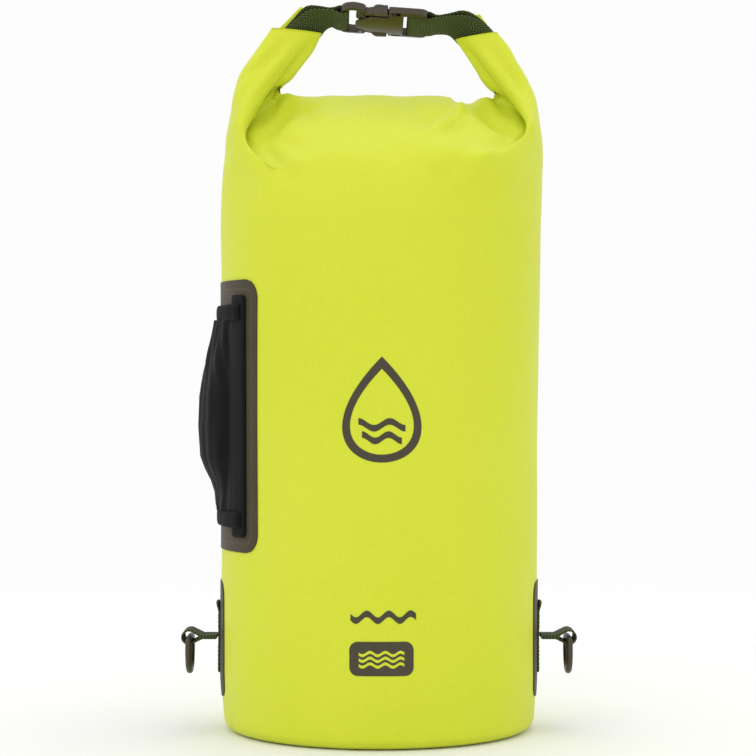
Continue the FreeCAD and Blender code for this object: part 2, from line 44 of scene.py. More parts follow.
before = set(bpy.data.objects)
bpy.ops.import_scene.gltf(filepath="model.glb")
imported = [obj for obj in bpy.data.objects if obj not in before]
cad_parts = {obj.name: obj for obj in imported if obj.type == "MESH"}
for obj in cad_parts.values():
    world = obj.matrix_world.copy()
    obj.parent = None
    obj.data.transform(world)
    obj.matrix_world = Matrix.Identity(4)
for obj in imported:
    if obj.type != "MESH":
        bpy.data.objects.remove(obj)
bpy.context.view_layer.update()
MM = 0.001


# ---- sizes and colours that a user would change -------------------------------------------------
def length_property(name, description, default):
    return bpy.props.FloatProperty(
        name=name, description=description, default=default, min=0.0, unit="LENGTH", precision=4
    )


def colour_property(name, description, default):
    return bpy.props.FloatVectorProperty(
        name=name, description=description, default=default, size=4, min=0.0, max=1.0, subtype="COLOR"
    )


def display(r, g, b):
    """Scene-linear colour of a display colour with 0 to 255 channels."""
    out = []
    for c in (r, g, b):
        c /= 255
        out.append(c / 12.92 if c <= 0.04045 else ((c + 0.055) / 1.055) ** 2.4)
    return (*out, 1.0)


class BagSizes(bpy.types.PropertyGroup):
    """Sizes of the bag's pieces"""

    wall_radius: length_property("Wall radius", "Outside radius of the filled tube", 0.118)
    base_corner: length_property("Base corner", "Rounding between the wall and the base", 0.0095)
    base_taper: length_property("Base taper", "How much narrower the tube is just above its base", 0.0022)
    closing_height: length_property("Closing height", "Height where the round tube starts to close", 0.372)
    webbing_width: length_property("Webbing width", "Width of all the webbing", 0.025)
    webbing_thickness: length_property("Webbing thickness", "Thickness of one layer of webbing", 0.0014)
    patch_thickness: length_property("Patch thickness", "Thickness of the welded patches", 0.0008)
    tape_thickness: length_property("Tape thickness", "Thickness of the pocket's side tapes", 0.0012)
    buckle_cell: length_property("Buckle mesh size", "Mesh size of the buckle's rounded pieces", 0.00048)
    mesh_pleat: length_property("Mesh pleat", "Depth of the pocket mesh's pleats", 0.0016)
    stitch_length: length_property("Stitch length", "Length of one stitch", 0.0028)


class BagColours(bpy.types.PropertyGroup):
    """Colours of the bag's pieces"""

    lime: colour_property("Lime", "Coated fabric", display(213, 222, 60))
    lime_deep: colour_property("Deep lime", "Coated fabric in its slow colour drift", display(206, 216, 44))
    patch: colour_property("Patch", "Olive brown patches", display(72, 64, 42))
    marking: colour_property("Print", "Printed marks", display(62, 55, 34))
    # in the webbing material, webbing is drawn on the ribs as a painted highlight and webbing_dark in the valleys as
    # painted shade
    webbing: colour_property("Webbing", "Olive webbing, raised ribs", display(106, 120, 66))
    webbing_dark: colour_property("Webbing shade", "Olive webbing between the ribs", display(36, 46, 20))
    buckle: colour_property("Buckle", "Moulded buckle", display(62, 54, 38))
    ring: colour_property("Ring", "Moulded rings", display(62, 54, 38))
    black: colour_property("Black tape", "Pocket tapes and hems", display(9, 9, 9))
    mesh: colour_property("Pocket mesh", "Threads of the mesh", display(9, 9, 9))


def sizes():
    return bpy.context.scene.dry_bag_sizes


def colours():
    return bpy.context.scene.dry_bag_colours


# ---- node helpers -------------------------------------------------------------------------------
def feed(tree, socket, value):
    """Links an output to a socket, or sets the socket's own value."""
    if isinstance(value, bpy.types.NodeSocket):
        tree.links.new(value, socket)
    else:
        socket.default_value = value


def add_node(tree, kind, settings=None, **inputs):
    """A node with its settings and inputs. i0 is its first input. In a name, _ stands for a space."""
    n = tree.nodes.new(kind)
    for key, value in (settings or {}).items():
        setattr(n, key, value)
    for key, value in inputs.items():
        by_number = key[0] == "i" and key[1:].isdigit()
        feed(tree, n.inputs[int(key[1:]) if by_number else key.replace("_", " ")], value)
    return n


def maths(tree, operation, a, b=0.0, c=0.0, clamp=False):
    settings = {"operation": operation, "use_clamp": clamp}
    return add_node(tree, "ShaderNodeMath", settings, i0=a, i1=b, i2=c).outputs[0]


def blend_colours(tree, share, a, b, mode="MIX"):
    settings = {"data_type": "RGBA", "blend_type": mode}
    return add_node(tree, "ShaderNodeMix", settings, i0=share, i6=a, i7=b).outputs[2]


def new_group(name, inputs, outputs):
    """An empty shader node group with named sockets."""
    tree = bpy.data.node_groups.new(name, "ShaderNodeTree")
    for label, kind, default in inputs:
        socket = tree.interface.new_socket(name=label, in_out="INPUT", socket_type="NodeSocket" + kind)
        if default is not None:
            socket.default_value = default
    for label, kind in outputs:
        tree.interface.new_socket(name=label, in_out="OUTPUT", socket_type="NodeSocket" + kind)
    return tree, tree.nodes.new("NodeGroupInput"), tree.nodes.new("NodeGroupOutput")


def use_group(tree, effect, **inputs):
    return add_node(tree, "ShaderNodeGroup", {"node_tree": effect()}, **inputs)


def built_once(store, label):
    """Keeps what a function makes under its name, so that it is made only once."""

    def wrap(build):
        def get():
            return getattr(bpy.data, store).get(label) or build(label)

        get.__doc__ = build.__doc__
        return get

    return wrap


@built_once("node_groups", "plain weave")
def plain_weave(label):
    """Over and under threads in two directions. Place is in metres along the cloth."""
    inputs = [("Place", "Vector", None), ("Thread", "Float", 0.0006)]
    tree, i, o = new_group(label, inputs, [("Height", "Float"), ("Gaps", "Float")])
    axes = add_node(tree, "ShaderNodeSeparateXYZ", i0=i.outputs["Place"])
    turn = maths(tree, "DIVIDE", math.pi, i.outputs["Thread"])
    u, v = (maths(tree, "SINE", maths(tree, "MULTIPLY", axes.outputs[k], turn)) for k in (0, 1))
    over = maths(tree, "MULTIPLY", u, v)
    tree.links.new(over, o.inputs["Height"])
    tree.links.new(maths(tree, "POWER", maths(tree, "ABSOLUTE", over), 0.5), o.inputs["Gaps"])
    return tree


@built_once("node_groups", "herringbone")
def herringbone(label):
    """Slanted ribs that change direction across the webbing, with a rib of cross threads."""
    inputs = [("Place", "Vector", None), ("Rib", "Float", 0.0016), ("Stripe", "Float", 0.004)]
    tree, i, o = new_group(label, inputs, [("Height", "Float"), ("Valley", "Float")])
    axes = add_node(tree, "ShaderNodeSeparateXYZ", i0=i.outputs["Place"])
    slant = maths(tree, "PINGPONG", axes.outputs[0], i.outputs["Stripe"])
    along = maths(tree, "ADD", axes.outputs[1], slant)
    turn = maths(tree, "DIVIDE", 2 * math.pi, i.outputs["Rib"])
    rib = maths(tree, "MULTIPLY_ADD", maths(tree, "SINE", maths(tree, "MULTIPLY", along, turn)), 0.5, 0.5)
    cross = maths(tree, "SINE", maths(tree, "MULTIPLY", axes.outputs[0], 2 * math.pi / CROSS_THREAD))
    height = maths(tree, "MULTIPLY", maths(tree, "POWER", rib, 1.3), maths(tree, "MULTIPLY_ADD", cross, 0.14, 0.86))
    tree.links.new(height, o.inputs["Height"])
    tree.links.new(maths(tree, "SUBTRACT", 1.0, height), o.inputs["Valley"])
    return tree


@built_once("node_groups", "soft grain")
def soft_grain(label):
    """Slow drift and fine grain for a surface's colour, gloss and bump."""
    inputs = [("Place", "Vector", None), ("Slow", "Float", 9.0), ("Fine", "Float", 900.0)]
    tree, i, o = new_group(label, inputs, [("Drift", "Float"), ("Grain", "Float")])
    for scale, detail, out in (("Slow", 3.0, "Drift"), ("Fine", 2.0, "Grain")):
        noise = add_node(tree, "ShaderNodeTexNoise", Vector=i.outputs["Place"], Scale=i.outputs[scale], Detail=detail)
        tree.links.new(noise.outputs[0], o.inputs[out])
    return tree


@built_once("node_groups", "worn edge")
def edge_highlight(label):
    """A mask that is 1 on sharp outer edges, broken up by noise."""
    tree, i, o = new_group(label, [("Place", "Vector", None), ("Reach", "Float", 0.53)], [("Mask", "Float")])
    shape = tree.nodes.new("ShaderNodeNewGeometry")
    rough = add_node(tree, "ShaderNodeTexNoise", Vector=i.outputs["Place"], Scale=350.0, Detail=2.0)
    lifted = maths(tree, "SUBTRACT", shape.outputs["Pointiness"], i.outputs["Reach"])
    mask = maths(tree, "MULTIPLY", lifted, 14.0, clamp=True)
    tree.links.new(maths(tree, "MULTIPLY", mask, rough.outputs[0], clamp=True), o.inputs["Mask"])
    return tree


def new_material(name):
    m = bpy.data.materials.new(name)
    m.use_nodes = True
    return m, m.node_tree, m.node_tree.nodes["Principled BSDF"]


def finish(tree, shader, colour, rough, normal, cloth=None):
    """Links a material's colour, roughness and normal. cloth is its sheen and specular level."""
    for value, name in ((colour, "Base Color"), (rough, "Roughness"), (normal, "Normal")):
        tree.links.new(value, shader.inputs[name])
    if cloth:
        shader.inputs["Sheen Weight"].default_value, shader.inputs["Specular IOR Level"].default_value = cloth


def object_place(tree):
    return tree.nodes.new("ShaderNodeTexCoord").outputs["Object"]


def cloth_place(tree):
    return add_node(tree, "ShaderNodeUVMap", {"uv_map": "cloth"}).outputs[0]


def grain_of(tree, slow, fine):
    grain = use_group(tree, soft_grain, Place=object_place(tree), Slow=slow, Fine=fine)
    return grain.outputs["Drift"], grain.outputs["Grain"]


def bump(tree, height, strength, distance, normal=None):
    n = add_node(tree, "ShaderNodeBump", Height=height, Strength=strength, Distance=distance)
    if normal:
        tree.links.new(normal, n.inputs["Normal"])
    return n.outputs[0]


def shaded(colour, by):
    return tuple(min(1.0, c * by) for c in colour[:3]) + (1.0,)


# ---- materials ----------------------------------------------------------------------------------
CROSS_THREAD = 0.0009  # spacing of the webbing's cross threads
MESH_HOLE = 0.0024  # spacing of the mesh's holes
MESH_OPEN_HALF = 0.026  # the mesh is closed further than this from its middle
PATCH_LINE = 0.0068  # the patches' pressed line, from their edge


@built_once("materials", "lime coated fabric")
def coated_fabric(label):
    m, t, p = new_material(label)
    drift, grain = grain_of(t, 7.0, 420.0)
    weave = use_group(t, plain_weave, Place=cloth_place(t), Thread=0.00075)
    share = maths(t, "MULTIPLY_ADD", drift, 1.6, -0.3, clamp=True)
    colour = blend_colours(t, share, tuple(colours().lime), tuple(colours().lime_deep))
    slubs = []
    for stretch in ((90.0, 1100.0, 1.0), (1100.0, 90.0, 1.0)):
        run = add_node(t, "ShaderNodeMapping", {"vector_type": "POINT"}, Vector=cloth_place(t), Scale=stretch)
        slubs.append(add_node(t, "ShaderNodeTexNoise", Vector=run.outputs[0], Scale=1.0, Detail=2.0).outputs[0])
    slub = maths(t, "ADD", *(maths(t, "MULTIPLY", s, 0.5) for s in slubs))
    woven = maths(t, "MULTIPLY_ADD", slub, 0.18, 0.89)
    fleck = maths(t, "MULTIPLY", woven, maths(t, "MULTIPLY_ADD", weave.outputs["Gaps"], 0.06, 0.97))
    grey = add_node(t, "ShaderNodeCombineColor", i0=fleck, i1=fleck, i2=fleck)
    dents = add_node(t, "ShaderNodeTexNoise", Vector=object_place(t), Scale=34.0, Detail=4.0)
    soft = bump(t, slub, 0.25, 0.0006, bump(t, dents.outputs[0], 0.14, 0.004))
    shade = blend_colours(t, 1.0, colour, grey.outputs[0], "MULTIPLY")
    normal = bump(t, weave.outputs["Height"], 0.10, 0.00025, soft)
    finish(t, p, shade, maths(t, "MULTIPLY_ADD", grain, 0.16, 0.42), normal, (0.03, 0.22))
    return m


@built_once("materials", "printed marks")
def printed_film(label):
    m, t, p = new_material(label)
    drift, grain = grain_of(t, 25.0, 900.0)
    colour = blend_colours(t, drift, shaded(colours().marking, 0.78), tuple(colours().marking))
    finish(t, p, colour, maths(t, "MULTIPLY_ADD", grain, 0.2, 0.4), bump(t, grain, 0.15, 0.0002))
    return m


@built_once("materials", "olive brown patch")
def patch_cloth(label):
    m, t, p = new_material(label)
    drift, grain = grain_of(t, 30.0, 700.0)
    weave = use_group(t, plain_weave, Place=cloth_place(t), Thread=0.0007)
    patch = colours().patch
    base = blend_colours(t, maths(t, "MULTIPLY", weave.outputs["Gaps"], drift), shaded(patch, 0.72), tuple(patch))
    gap = add_node(t, "ShaderNodeAttribute", {"attribute_name": "edge_gap"}).outputs["Fac"]
    off = maths(t, "ABSOLUTE", maths(t, "SUBTRACT", gap, PATCH_LINE))
    line = maths(t, "SUBTRACT", 1.0, maths(t, "DIVIDE", off, 0.0009), clamp=True)
    colour = blend_colours(t, maths(t, "MULTIPLY", line, 0.55), base, shaded(patch, 1.5))
    normal = bump(t, weave.outputs["Height"], 0.25, 0.0003, bump(t, line, 0.5, 0.0004))
    finish(t, p, colour, maths(t, "MULTIPLY_ADD", grain, 0.2, 0.45), normal, (0.03, 0.22))
    return m


def ribbed_cloth(name, base, raised, rib, depth, rough):
    """Tapes, hems and webbing: herringbone ribs in two shades."""
    m, t, p = new_material(name)
    drift, grain = grain_of(t, 45.0, 1500.0)
    ribs = use_group(t, herringbone, Place=cloth_place(t), Rib=rib, Stripe=0.0042)
    share = maths(t, "MULTIPLY", ribs.outputs["Height"], maths(t, "MULTIPLY_ADD", grain, 0.5, 0.6), clamp=True)
    # painted highlight and painted shade: the raised colour on the ribs, the base colour in the valleys between them
    colour = blend_colours(t, share, base, raised)
    worn = blend_colours(t, maths(t, "MULTIPLY_ADD", drift, 0.5, -0.12, clamp=True), colour, base)
    dull = maths(t, "MULTIPLY_ADD", ribs.outputs["Valley"], 0.15, rough)
    finish(t, p, worn, dull, bump(t, share, 0.6, depth), (0.04, 0.12))
    return m


@built_once("materials", "olive webbing")
def webbing_cloth(label):
    return ribbed_cloth(label, tuple(colours().webbing_dark), tuple(colours().webbing), 0.0024, 0.0006, 0.6)


@built_once("materials", "black tape")
def black_tape(label):
    black = colours().black
    # painted shade in the valleys at half the black, painted highlight on the ribs at one and a half times it
    return ribbed_cloth(label, shaded(black, 0.5), shaded(black, 1.5), 0.0013, 0.0003, 0.7)


@built_once("materials", "black pocket mesh")
def mesh_cloth(label):
    """Knitted mesh: round holes between dark threads."""
    m, t, p = new_material(label)
    _, grain = grain_of(t, 40.0, 1200.0)
    axes = add_node(t, "ShaderNodeSeparateXYZ", i0=cloth_place(t))
    turn = 2 * math.pi / MESH_HOLE
    waves = []
    for way in ("ADD", "SUBTRACT"):
        slanted = maths(t, way, axes.outputs[0], axes.outputs[1])
        waves.append(maths(t, "SINE", maths(t, "MULTIPLY", slanted, turn)))
    past = maths(t, "SUBTRACT", maths(t, "ABSOLUTE", axes.outputs[0]), MESH_OPEN_HALF)
    fill = maths(t, "MULTIPLY_ADD", maths(t, "MULTIPLY", past, 300.0, clamp=True), 2.0, 1.25)
    knit = maths(t, "MULTIPLY", maths(t, "SUBTRACT", fill, maths(t, "ADD", *waves)), 3.0, clamp=True)
    # painted glints: fine noise lightens the threads from a dark copy to a lit copy of the mesh colour
    dark, lit = shaded(colours().mesh, 0.45), shaded(colours().mesh, 2.2)
    colour = blend_colours(t, maths(t, "MULTIPLY", knit, grain), dark, lit)
    finish(t, p, colour, maths(t, "MULTIPLY_ADD", grain, 0.2, 0.6), bump(t, knit, 0.6, 0.0003), (0.03, 0.12))
    t.links.new(knit, p.inputs["Alpha"])
    return m


def moulded(name, colour, rough):
    """Moulded plastic with fine spark grain, and edges rubbed lighter and glossier."""
    m, t, p = new_material(name)
    drift, grain = grain_of(t, 60.0, 1700.0)
    edge_light = use_group(t, edge_highlight, Place=object_place(t), Reach=0.52)
    base = blend_colours(t, drift, shaded(colour, 0.8), tuple(colour))
    # painted highlight: sharp outer edges blend towards a lighter copy of the plastic's colour
    highlighted = blend_colours(t, maths(t, "MULTIPLY", edge_light.outputs["Mask"], 0.55), base, shaded(colour, 1.9))
    finish(t, p, highlighted, maths(t, "MULTIPLY_ADD", grain, 0.22, rough), bump(t, grain, 0.18, 0.0002))
    return m


@built_once("materials", "olive brown buckle plastic")
def buckle_plastic(label):
    return moulded(label, colours().buckle, 0.2)


@built_once("materials", "olive brown ring plastic")
def ring_plastic(label):
    return moulded(label, colours().ring, 0.3)


@built_once("materials", "sewing thread")
def thread(label):
    m, t, p = new_material(label)
    drift, grain = grain_of(t, 200.0, 4000.0)
    colour = blend_colours(t, grain, shaded(colours().webbing_dark, 0.5), tuple(colours().webbing))
    finish(t, p, colour, maths(t, "MULTIPLY_ADD", drift, 0.2, 0.5), bump(t, grain, 0.3, 0.0002))
    return m


# ---- mesh helpers -------------------------------------------------------------------------------
def deselect():
    if bpy.context.object and bpy.context.object.mode != "OBJECT":
        bpy.ops.object.mode_set(mode="OBJECT")
    bpy.ops.object.select_all(action="DESELECT")


def pick(piece):
    deselect()
    piece.select_set(True)
    bpy.context.view_layer.objects.active = piece


def edit_mesh(piece, **steps):
    """Runs mesh operators on the whole of a piece, each with its settings."""
    pick(piece)
    bpy.ops.object.mode_set(mode="EDIT")
    bpy.ops.mesh.select_all(action="SELECT")
    for operator, settings in steps.items():
        getattr(bpy.ops.mesh, operator)(**settings)
    bpy.ops.object.mode_set(mode="OBJECT")


def apply_modifier(piece, kind, **settings):
    pick(piece)
    mod = piece.modifiers.new(kind.lower(), kind)
    for key, value in settings.items():
        setattr(mod, key, value)
    bpy.ops.object.modifier_apply(modifier=mod.name)


def bevel_edges(piece, width, segments, angle, **settings):
    """Rounds the edges that are sharper than angle. width is in millimetres."""
    limit = math.radians(angle)
    apply_modifier(
        piece, "BEVEL", width=width * MM, segments=segments, limit_method="ANGLE", angle_limit=limit, **settings
    )


def thicken(piece, thickness, offset, bevel=0.0):
    """Gives a sheet its thickness and, with a bevel, soft edges. Sizes are in millimetres."""
    apply_modifier(piece, "SOLIDIFY", thickness=thickness * MM, offset=offset)
    if bevel:
        bevel_edges(piece, bevel, 2, 50)


def in_scene(name, data):
    thing = bpy.data.objects.new(name, data)
    bpy.context.scene.collection.objects.link(thing)
    return thing


def new_piece(name, points, faces, material, uv=None):
    """A smooth-shaded piece. points are in millimetres, uv in metres along the cloth, one for each point."""
    me = bpy.data.meshes.new(name)
    me.from_pydata((np.asarray(points, float) * MM).tolist(), [], [list(f) for f in faces])
    me.update()
    piece = in_scene(name, me)
    if uv is not None:
        layer = me.uv_layers.new(name="cloth")
        index = np.zeros(len(me.loops), int)
        me.loops.foreach_get("vertex_index", index)
        layer.data.foreach_set("uv", np.asarray(uv, np.float32)[index].ravel())
    me.polygons.foreach_set("use_smooth", [True] * len(me.polygons))
    me.materials.append(material)
    return piece


def grid_faces(rows, columns):
    """Faces of a grid of points that has this many cells up and across."""
    n = columns + 1
    corners = (r * n + k for r in range(rows) for k in range(columns))
    return [(i, i + 1, i + n + 1, i + n) for i in corners]


def ease(x, a, b):
    t = np.clip((x - a) / (b - a), 0, 1)
    return t * t * (3 - 2 * t)


def table(rows):
    """Smooth interpolation through the rows of a table. Column 0 grows."""
    data = np.array(rows, float)
    t, values = data[:, 0], data[:, 1:]
    slope = np.zeros_like(values)
    step = np.diff(t)[:, None]
    change = np.diff(values, axis=0) / step
    slope[1:-1] = (change[:-1] * step[1:] + change[1:] * step[:-1]) / (step[:-1] + step[1:])
    slope[0], slope[-1] = change[0], change[-1]

    def at(x):
        i = int(np.clip(np.searchsorted(t, x, side="right") - 1, 0, len(t) - 2))
        h = t[i + 1] - t[i]
        u = (x - t[i]) / h
        start, end = 2 * u**3 - 3 * u**2 + 1, -2 * u**3 + 3 * u**2
        leave, arrive = (u**3 - 2 * u**2 + u) * h, (u**3 - u**2) * h
        return start * values[i] + leave * slope[i] + end * values[i + 1] + arrive * slope[i + 1]

    return at


def wall_radius(angle, z):
    """The filled tube's outside radius in millimetres. angle is from the front, towards the right.

    A filled tube isn't quite round: it narrows at its base, leans at its sides and has soft dents.
    """
    s = sizes()
    r = s.wall_radius / MM
    r -= s.base_taper / MM * (1 - ease(z, 0, 46))
    r += 0.5 * ease(z, 250, 372)
    right = np.interp(z, [0, 120, 210, 260, 320, 372], [0.0, 0.0, 0.0, 1.2, 2.1, 2.5])
    left = 0.5 * ease(z, 110, 150) * (1 - ease(z, 340, 372))
    r += ease(np.sin(angle), 0.588, 1.0) * right - ease(-np.sin(angle), 0.588, 1.0) * left
    calm = ease(z, 8, 60) * (1 - ease(z, 340, 372))
    r += calm * (0.42 * np.sin(3 * angle + 0.8) * np.sin(z / 52 + 0.6) + 0.28 * np.sin(7 * angle + z / 38))
    return r


def on_wall(angle, z, off=0.0):
    r = wall_radius(angle, z) + off
    return np.stack([r * np.sin(angle), -r * np.cos(angle), np.broadcast_to(z, np.shape(r)).astype(float)], axis=-1)


def wall_sheet(name, angle, width, low, high, corner, off, thickness, material, lift=None, cell=3.0):
    """A sheet with rounded corners that lies on the wall, in millimetres. lift(across, z) raises it."""
    radius = sizes().wall_radius / MM
    nu, nv = max(6, int(width / cell)), max(6, int((high - low) / cell))
    u = np.linspace(-1, 1, nu + 1)
    near = np.array([0, 0.12, 0.3, 0.55, 0.8, 1.0]) * corner
    inner = np.linspace(low + corner, high - corner, nv + 1)[1:-1]
    rows = np.r_[low + near, inner, (high - near)[::-1]]
    points, uv, gap = [], [], []
    for z in rows:
        d = min(z - low, high - z)
        half = width / 2
        if d < corner:
            half += math.sqrt(max(0.0, corner**2 - (corner - d) ** 2)) - corner
        s = u * half
        raised = lift(s, z) if lift is not None else 0.0
        points.append(on_wall(angle + s / radius, z, off + raised))
        uv.append(np.stack([s * MM, np.full(nu + 1, z * MM)], axis=-1))
        gap.append(np.minimum(half - np.abs(s), d) * MM)
    faces = grid_faces(len(rows) - 1, nu)
    piece = new_piece(name, np.concatenate(points), faces, material, np.concatenate(uv))
    edge_gap = piece.data.attributes.new("edge_gap", "FLOAT", "POINT")
    edge_gap.data.foreach_set("value", np.concatenate(gap).astype(np.float32))
    thicken(piece, thickness, 1.0, min(0.3, thickness / 3))
    return piece


STITCH_WIDTH = 0.75


def stitch_at(angle, z, off, across=False):
    """A stitch's place on the wall. It runs up the wall, or across it."""
    way = (math.cos(angle), math.sin(angle), 0) if across else (0, 0, 1)
    return on_wall(np.array(angle), z, off), way, (math.sin(angle), -math.cos(angle), 0)


def follow(points, count):
    """count points spaced evenly along a smooth line through points, each a row of numbers."""
    p = np.array(points, float)
    ends = np.vstack([2 * p[0] - p[1], p, 2 * p[-1] - p[-2]])
    out = []
    for i in range(1, len(ends) - 2):
        a, b, c, d = ends[i - 1 : i + 3]
        for t in np.linspace(0, 1, 16, endpoint=False):
            square, cube = 2 * a - 5 * b + 4 * c - d, 3 * b - a - 3 * c + d
            out.append(0.5 * (2 * b + (c - a) * t + square * t * t + cube * t**3))
    out = np.array(out + [p[-1]])
    run = np.r_[0, np.cumsum(np.linalg.norm(np.diff(out[:, :3], axis=0), axis=1))]
    at = np.linspace(0, run[-1], count)
    return np.stack([np.interp(at, run, out[:, k]) for k in range(out.shape[1])], axis=-1), at


def webbing(name, stations, count, width, thickness, material):
    """A flat strap along stations, each a centre and a direction across. Its section has rounded edges."""
    line, run = follow([list(c) + list(a) for c, a in stations], count)
    centre, across = line[:, :3], line[:, 3:]
    way = np.gradient(centre, axis=0)
    way /= np.linalg.norm(way, axis=1)[:, None]
    across = across - way * np.sum(across * way, axis=1)[:, None]
    across /= np.linalg.norm(across, axis=1)[:, None]
    through = np.cross(way, across)
    h, t = width / 2, thickness / 2
    e = t * 0.9
    flat = [x * h for x in (-0.6, -0.3, 0, 0.3, 0.6)]
    section = [(-h + e, -t), *((x, -t) for x in flat), (h - e, -t), (h, -t * 0.35), (h, t * 0.35), (h - e, t)]
    section += [*((x, t) for x in flat[::-1]), (-h + e, t), (-h, t * 0.35), (-h, -t * 0.35)]
    m = len(section)
    points, uv = [], []
    for c, a, n, v in zip(centre, across, through, run):
        for x, y in section:
            points.append(c + a * x + n * y)
            uv.append((x * MM, v * MM))
    sides = [(k, m + k, m + (k + 1) % m, (k + 1) % m) for k in range(m)]
    faces = [tuple(r * m + i for i in side) for r in range(count - 1) for side in sides]
    faces += [tuple(range(m)), tuple((count - 1) * m + k for k in reversed(range(m)))]
    piece = new_piece(name, points, faces, material, uv)
    edit_mesh(piece, normals_make_consistent={"inside": False})
    return piece


def stitches(name, places, material):
    """One mesh of stitches. Each place is a centre in millimetres, the stitch's direction and the way out."""
    length, width = sizes().stitch_length / MM, STITCH_WIDTH
    bpy.ops.mesh.primitive_uv_sphere_add(segments=6, ring_count=5, radius=0.5)
    model = bpy.context.object
    base = np.array([v.co for v in model.data.vertices]) * [width, width * 0.8, length]
    quads = [tuple(p.vertices) for p in model.data.polygons]
    bpy.data.objects.remove(model)
    points, faces = [], []
    for centre, way, out in places:
        way = np.array(way, float) / np.linalg.norm(way)
        out = np.array(out, float)
        out = out - way * out.dot(way)
        out /= np.linalg.norm(out)
        side = np.cross(out, way)
        start = len(points)
        points += list(np.array(centre) + base[:, :1] * side + base[:, 1:2] * out + base[:, 2:3] * way)
        faces += [tuple(start + k for k in q) for q in quads]
    return new_piece(name, points, faces, material)


def merged_copy(node, name, material):
    """A copy of a CAD node with its doubles merged, which the finished piece is made from."""
    piece = in_scene(name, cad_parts[node].data.copy())
    piece.data.materials.clear()
    piece.data.materials.append(material)
    edit_mesh(
        piece,
        remove_doubles={"threshold": 1e-6},
        customdata_custom_splitnormals_clear={},
        dissolve_limited={"angle_limit": math.radians(3)},
    )
    return piece


def bevelled(piece, bevel):
    bevel_edges(piece, bevel, 3, 32, use_clamp_overlap=True)
    pick(piece)
    bpy.ops.object.shade_smooth_by_angle(angle=math.radians(35))
    return piece


def moulded_round(piece, cell, passes):
    """Rounds every edge as a mould does: an even fine mesh, then smoothing."""
    apply_modifier(piece, "REMESH", mode="VOXEL", voxel_size=cell * MM, use_smooth_shade=True)
    apply_modifier(piece, "SMOOTH", factor=0.5, iterations=passes)
    pick(piece)
    bpy.ops.object.shade_smooth()
    return piece


# ---- the bag's shell ----------------------------------------------------------------------------
# Up the closing part: share, side line x and z, fold lip x and z, half depth, angle round the section
LEFT_END = [
    (0.00, 118.5, 372, 69.7, 372, 118.5, 54),
    (0.12, 118.2, 390, 69.0, 390, 115, 54),
    (0.24, 117.3, 409, 68.4, 408, 108, 54),
    (0.34, 116.0, 426, 80.6, 416.5, 86, 62),
    (0.42, 114.6, 442, 89.5, 424.5, 67, 73),
    (0.52, 112.3, 458, 95.5, 441, 47, 92),
    (0.62, 109.8, 472, 86.7, 454.5, 32, 122),
    (0.70, 107.3, 481, 76.0, 470.5, 22, 158),
    (0.74, 105.8, 485.5, 70.4, 478.0, 18.5, 180),
    (0.86, 97.5, 499, 58.0, 494.0, 12.5, 180),
    (0.94, 89.5, 510.5, 48.4, 507, 9, 180),
    (1.00, 80.5, 523.2, 42.8, 519.2, 7, 180),
]
RIGHT_END = [
    (0.00, 121.0, 372, 69.7, 372, 118.5, 54),
    (0.12, 121.8, 390, 69.5, 392, 115, 54),
    (0.24, 122.4, 409, 78.0, 417, 104, 60),
    (0.34, 122.3, 426, 90.5, 427, 80, 68),
    (0.42, 121.4, 442, 101.0, 435, 61, 78),
    (0.52, 119.9, 458, 106.5, 447, 43, 94),
    (0.62, 116.8, 472, 99.0, 459.5, 29, 124),
    (0.70, 112.9, 481, 89.0, 469.5, 20, 158),
    (0.74, 111.0, 485.5, 83.5, 473.8, 17, 180),
    (0.86, 103.6, 499, 73.0, 491, 12, 180),
    (0.94, 97.0, 510.0, 64.2, 503.5, 9, 180),
    (1.00, 88.5, 520.2, 57.2, 514.6, 7, 180),
]
# The front and back panels' middle line: share, y and z
MIDDLE_LINE = [
    (0, -118.5, 372),
    (0.12, -114.5, 395),
    (0.24, -104, 416),
    (0.34, -90, 431),
    (0.42, -76, 441.5),
    (0.52, -55, 453),
    (0.62, -31, 463.5),
    (0.69, -11.5, 470.8),
    (0.74, 0, 472.8),
]
# The middle sheet's hidden edge behind the fold: share, x, y and z
LEFT_TUCK = [
    (0.34, 82.5, -67, 417.5),
    (0.42, 92.5, -51, 427),
    (0.52, 99.5, -29, 442),
    (0.62, 92, -11, 457),
    (0.69, 79, -4.5, 470.5),
    (0.74, 71.8, 0, 478.2),
]
RIGHT_TUCK = [
    (0.34, 93, -61, 428),
    (0.42, 104.5, -45, 437.5),
    (0.52, 110, -26, 448),
    (0.62, 103, -10, 461),
    (0.69, 90.5, -4.5, 469),
    (0.74, 84.5, 0, 473.6),
]
# Each side: its end, its tuck, the share where the tuck leaves the fold, and its top dip's depth, x and width
SIDES = ((-1, LEFT_END, LEFT_TUCK, 0.28, (1.6, 48, 8.0)), (1, RIGHT_END, RIGHT_TUCK, 0.31, (4.6, 66.5, 7.0)))
ROUND = 118.5  # half depth of the tube where it starts to close
FOLD_GAP = 3.5  # the sheet's edge below the fold, inwards from the lip
# The rounded base edge: angle in degrees and dip, then the base's steps inwards: inset and height
BASE_EDGE = ((16, 0), (30, 0), (36, 0.5), (42, 0), (56, 0), (72, 0), (90, 0))
BASE_STEPS = ((18, 0.0), (30, 0.5), (60, 1.0), (90, 1.2))
# The horns' open ends turn in: inset and depth
HORN_STEPS = ((0.5, -0.15), (1.0, 0.4), (1.1, 5.0), (1.2, 13.0))
CORNER = 0.74
MID, TUCK, SIDE = 24, 5, 18
LOW_ROWS, HORN_ROWS = 36, 12
CREASE_SCALE = 1.7
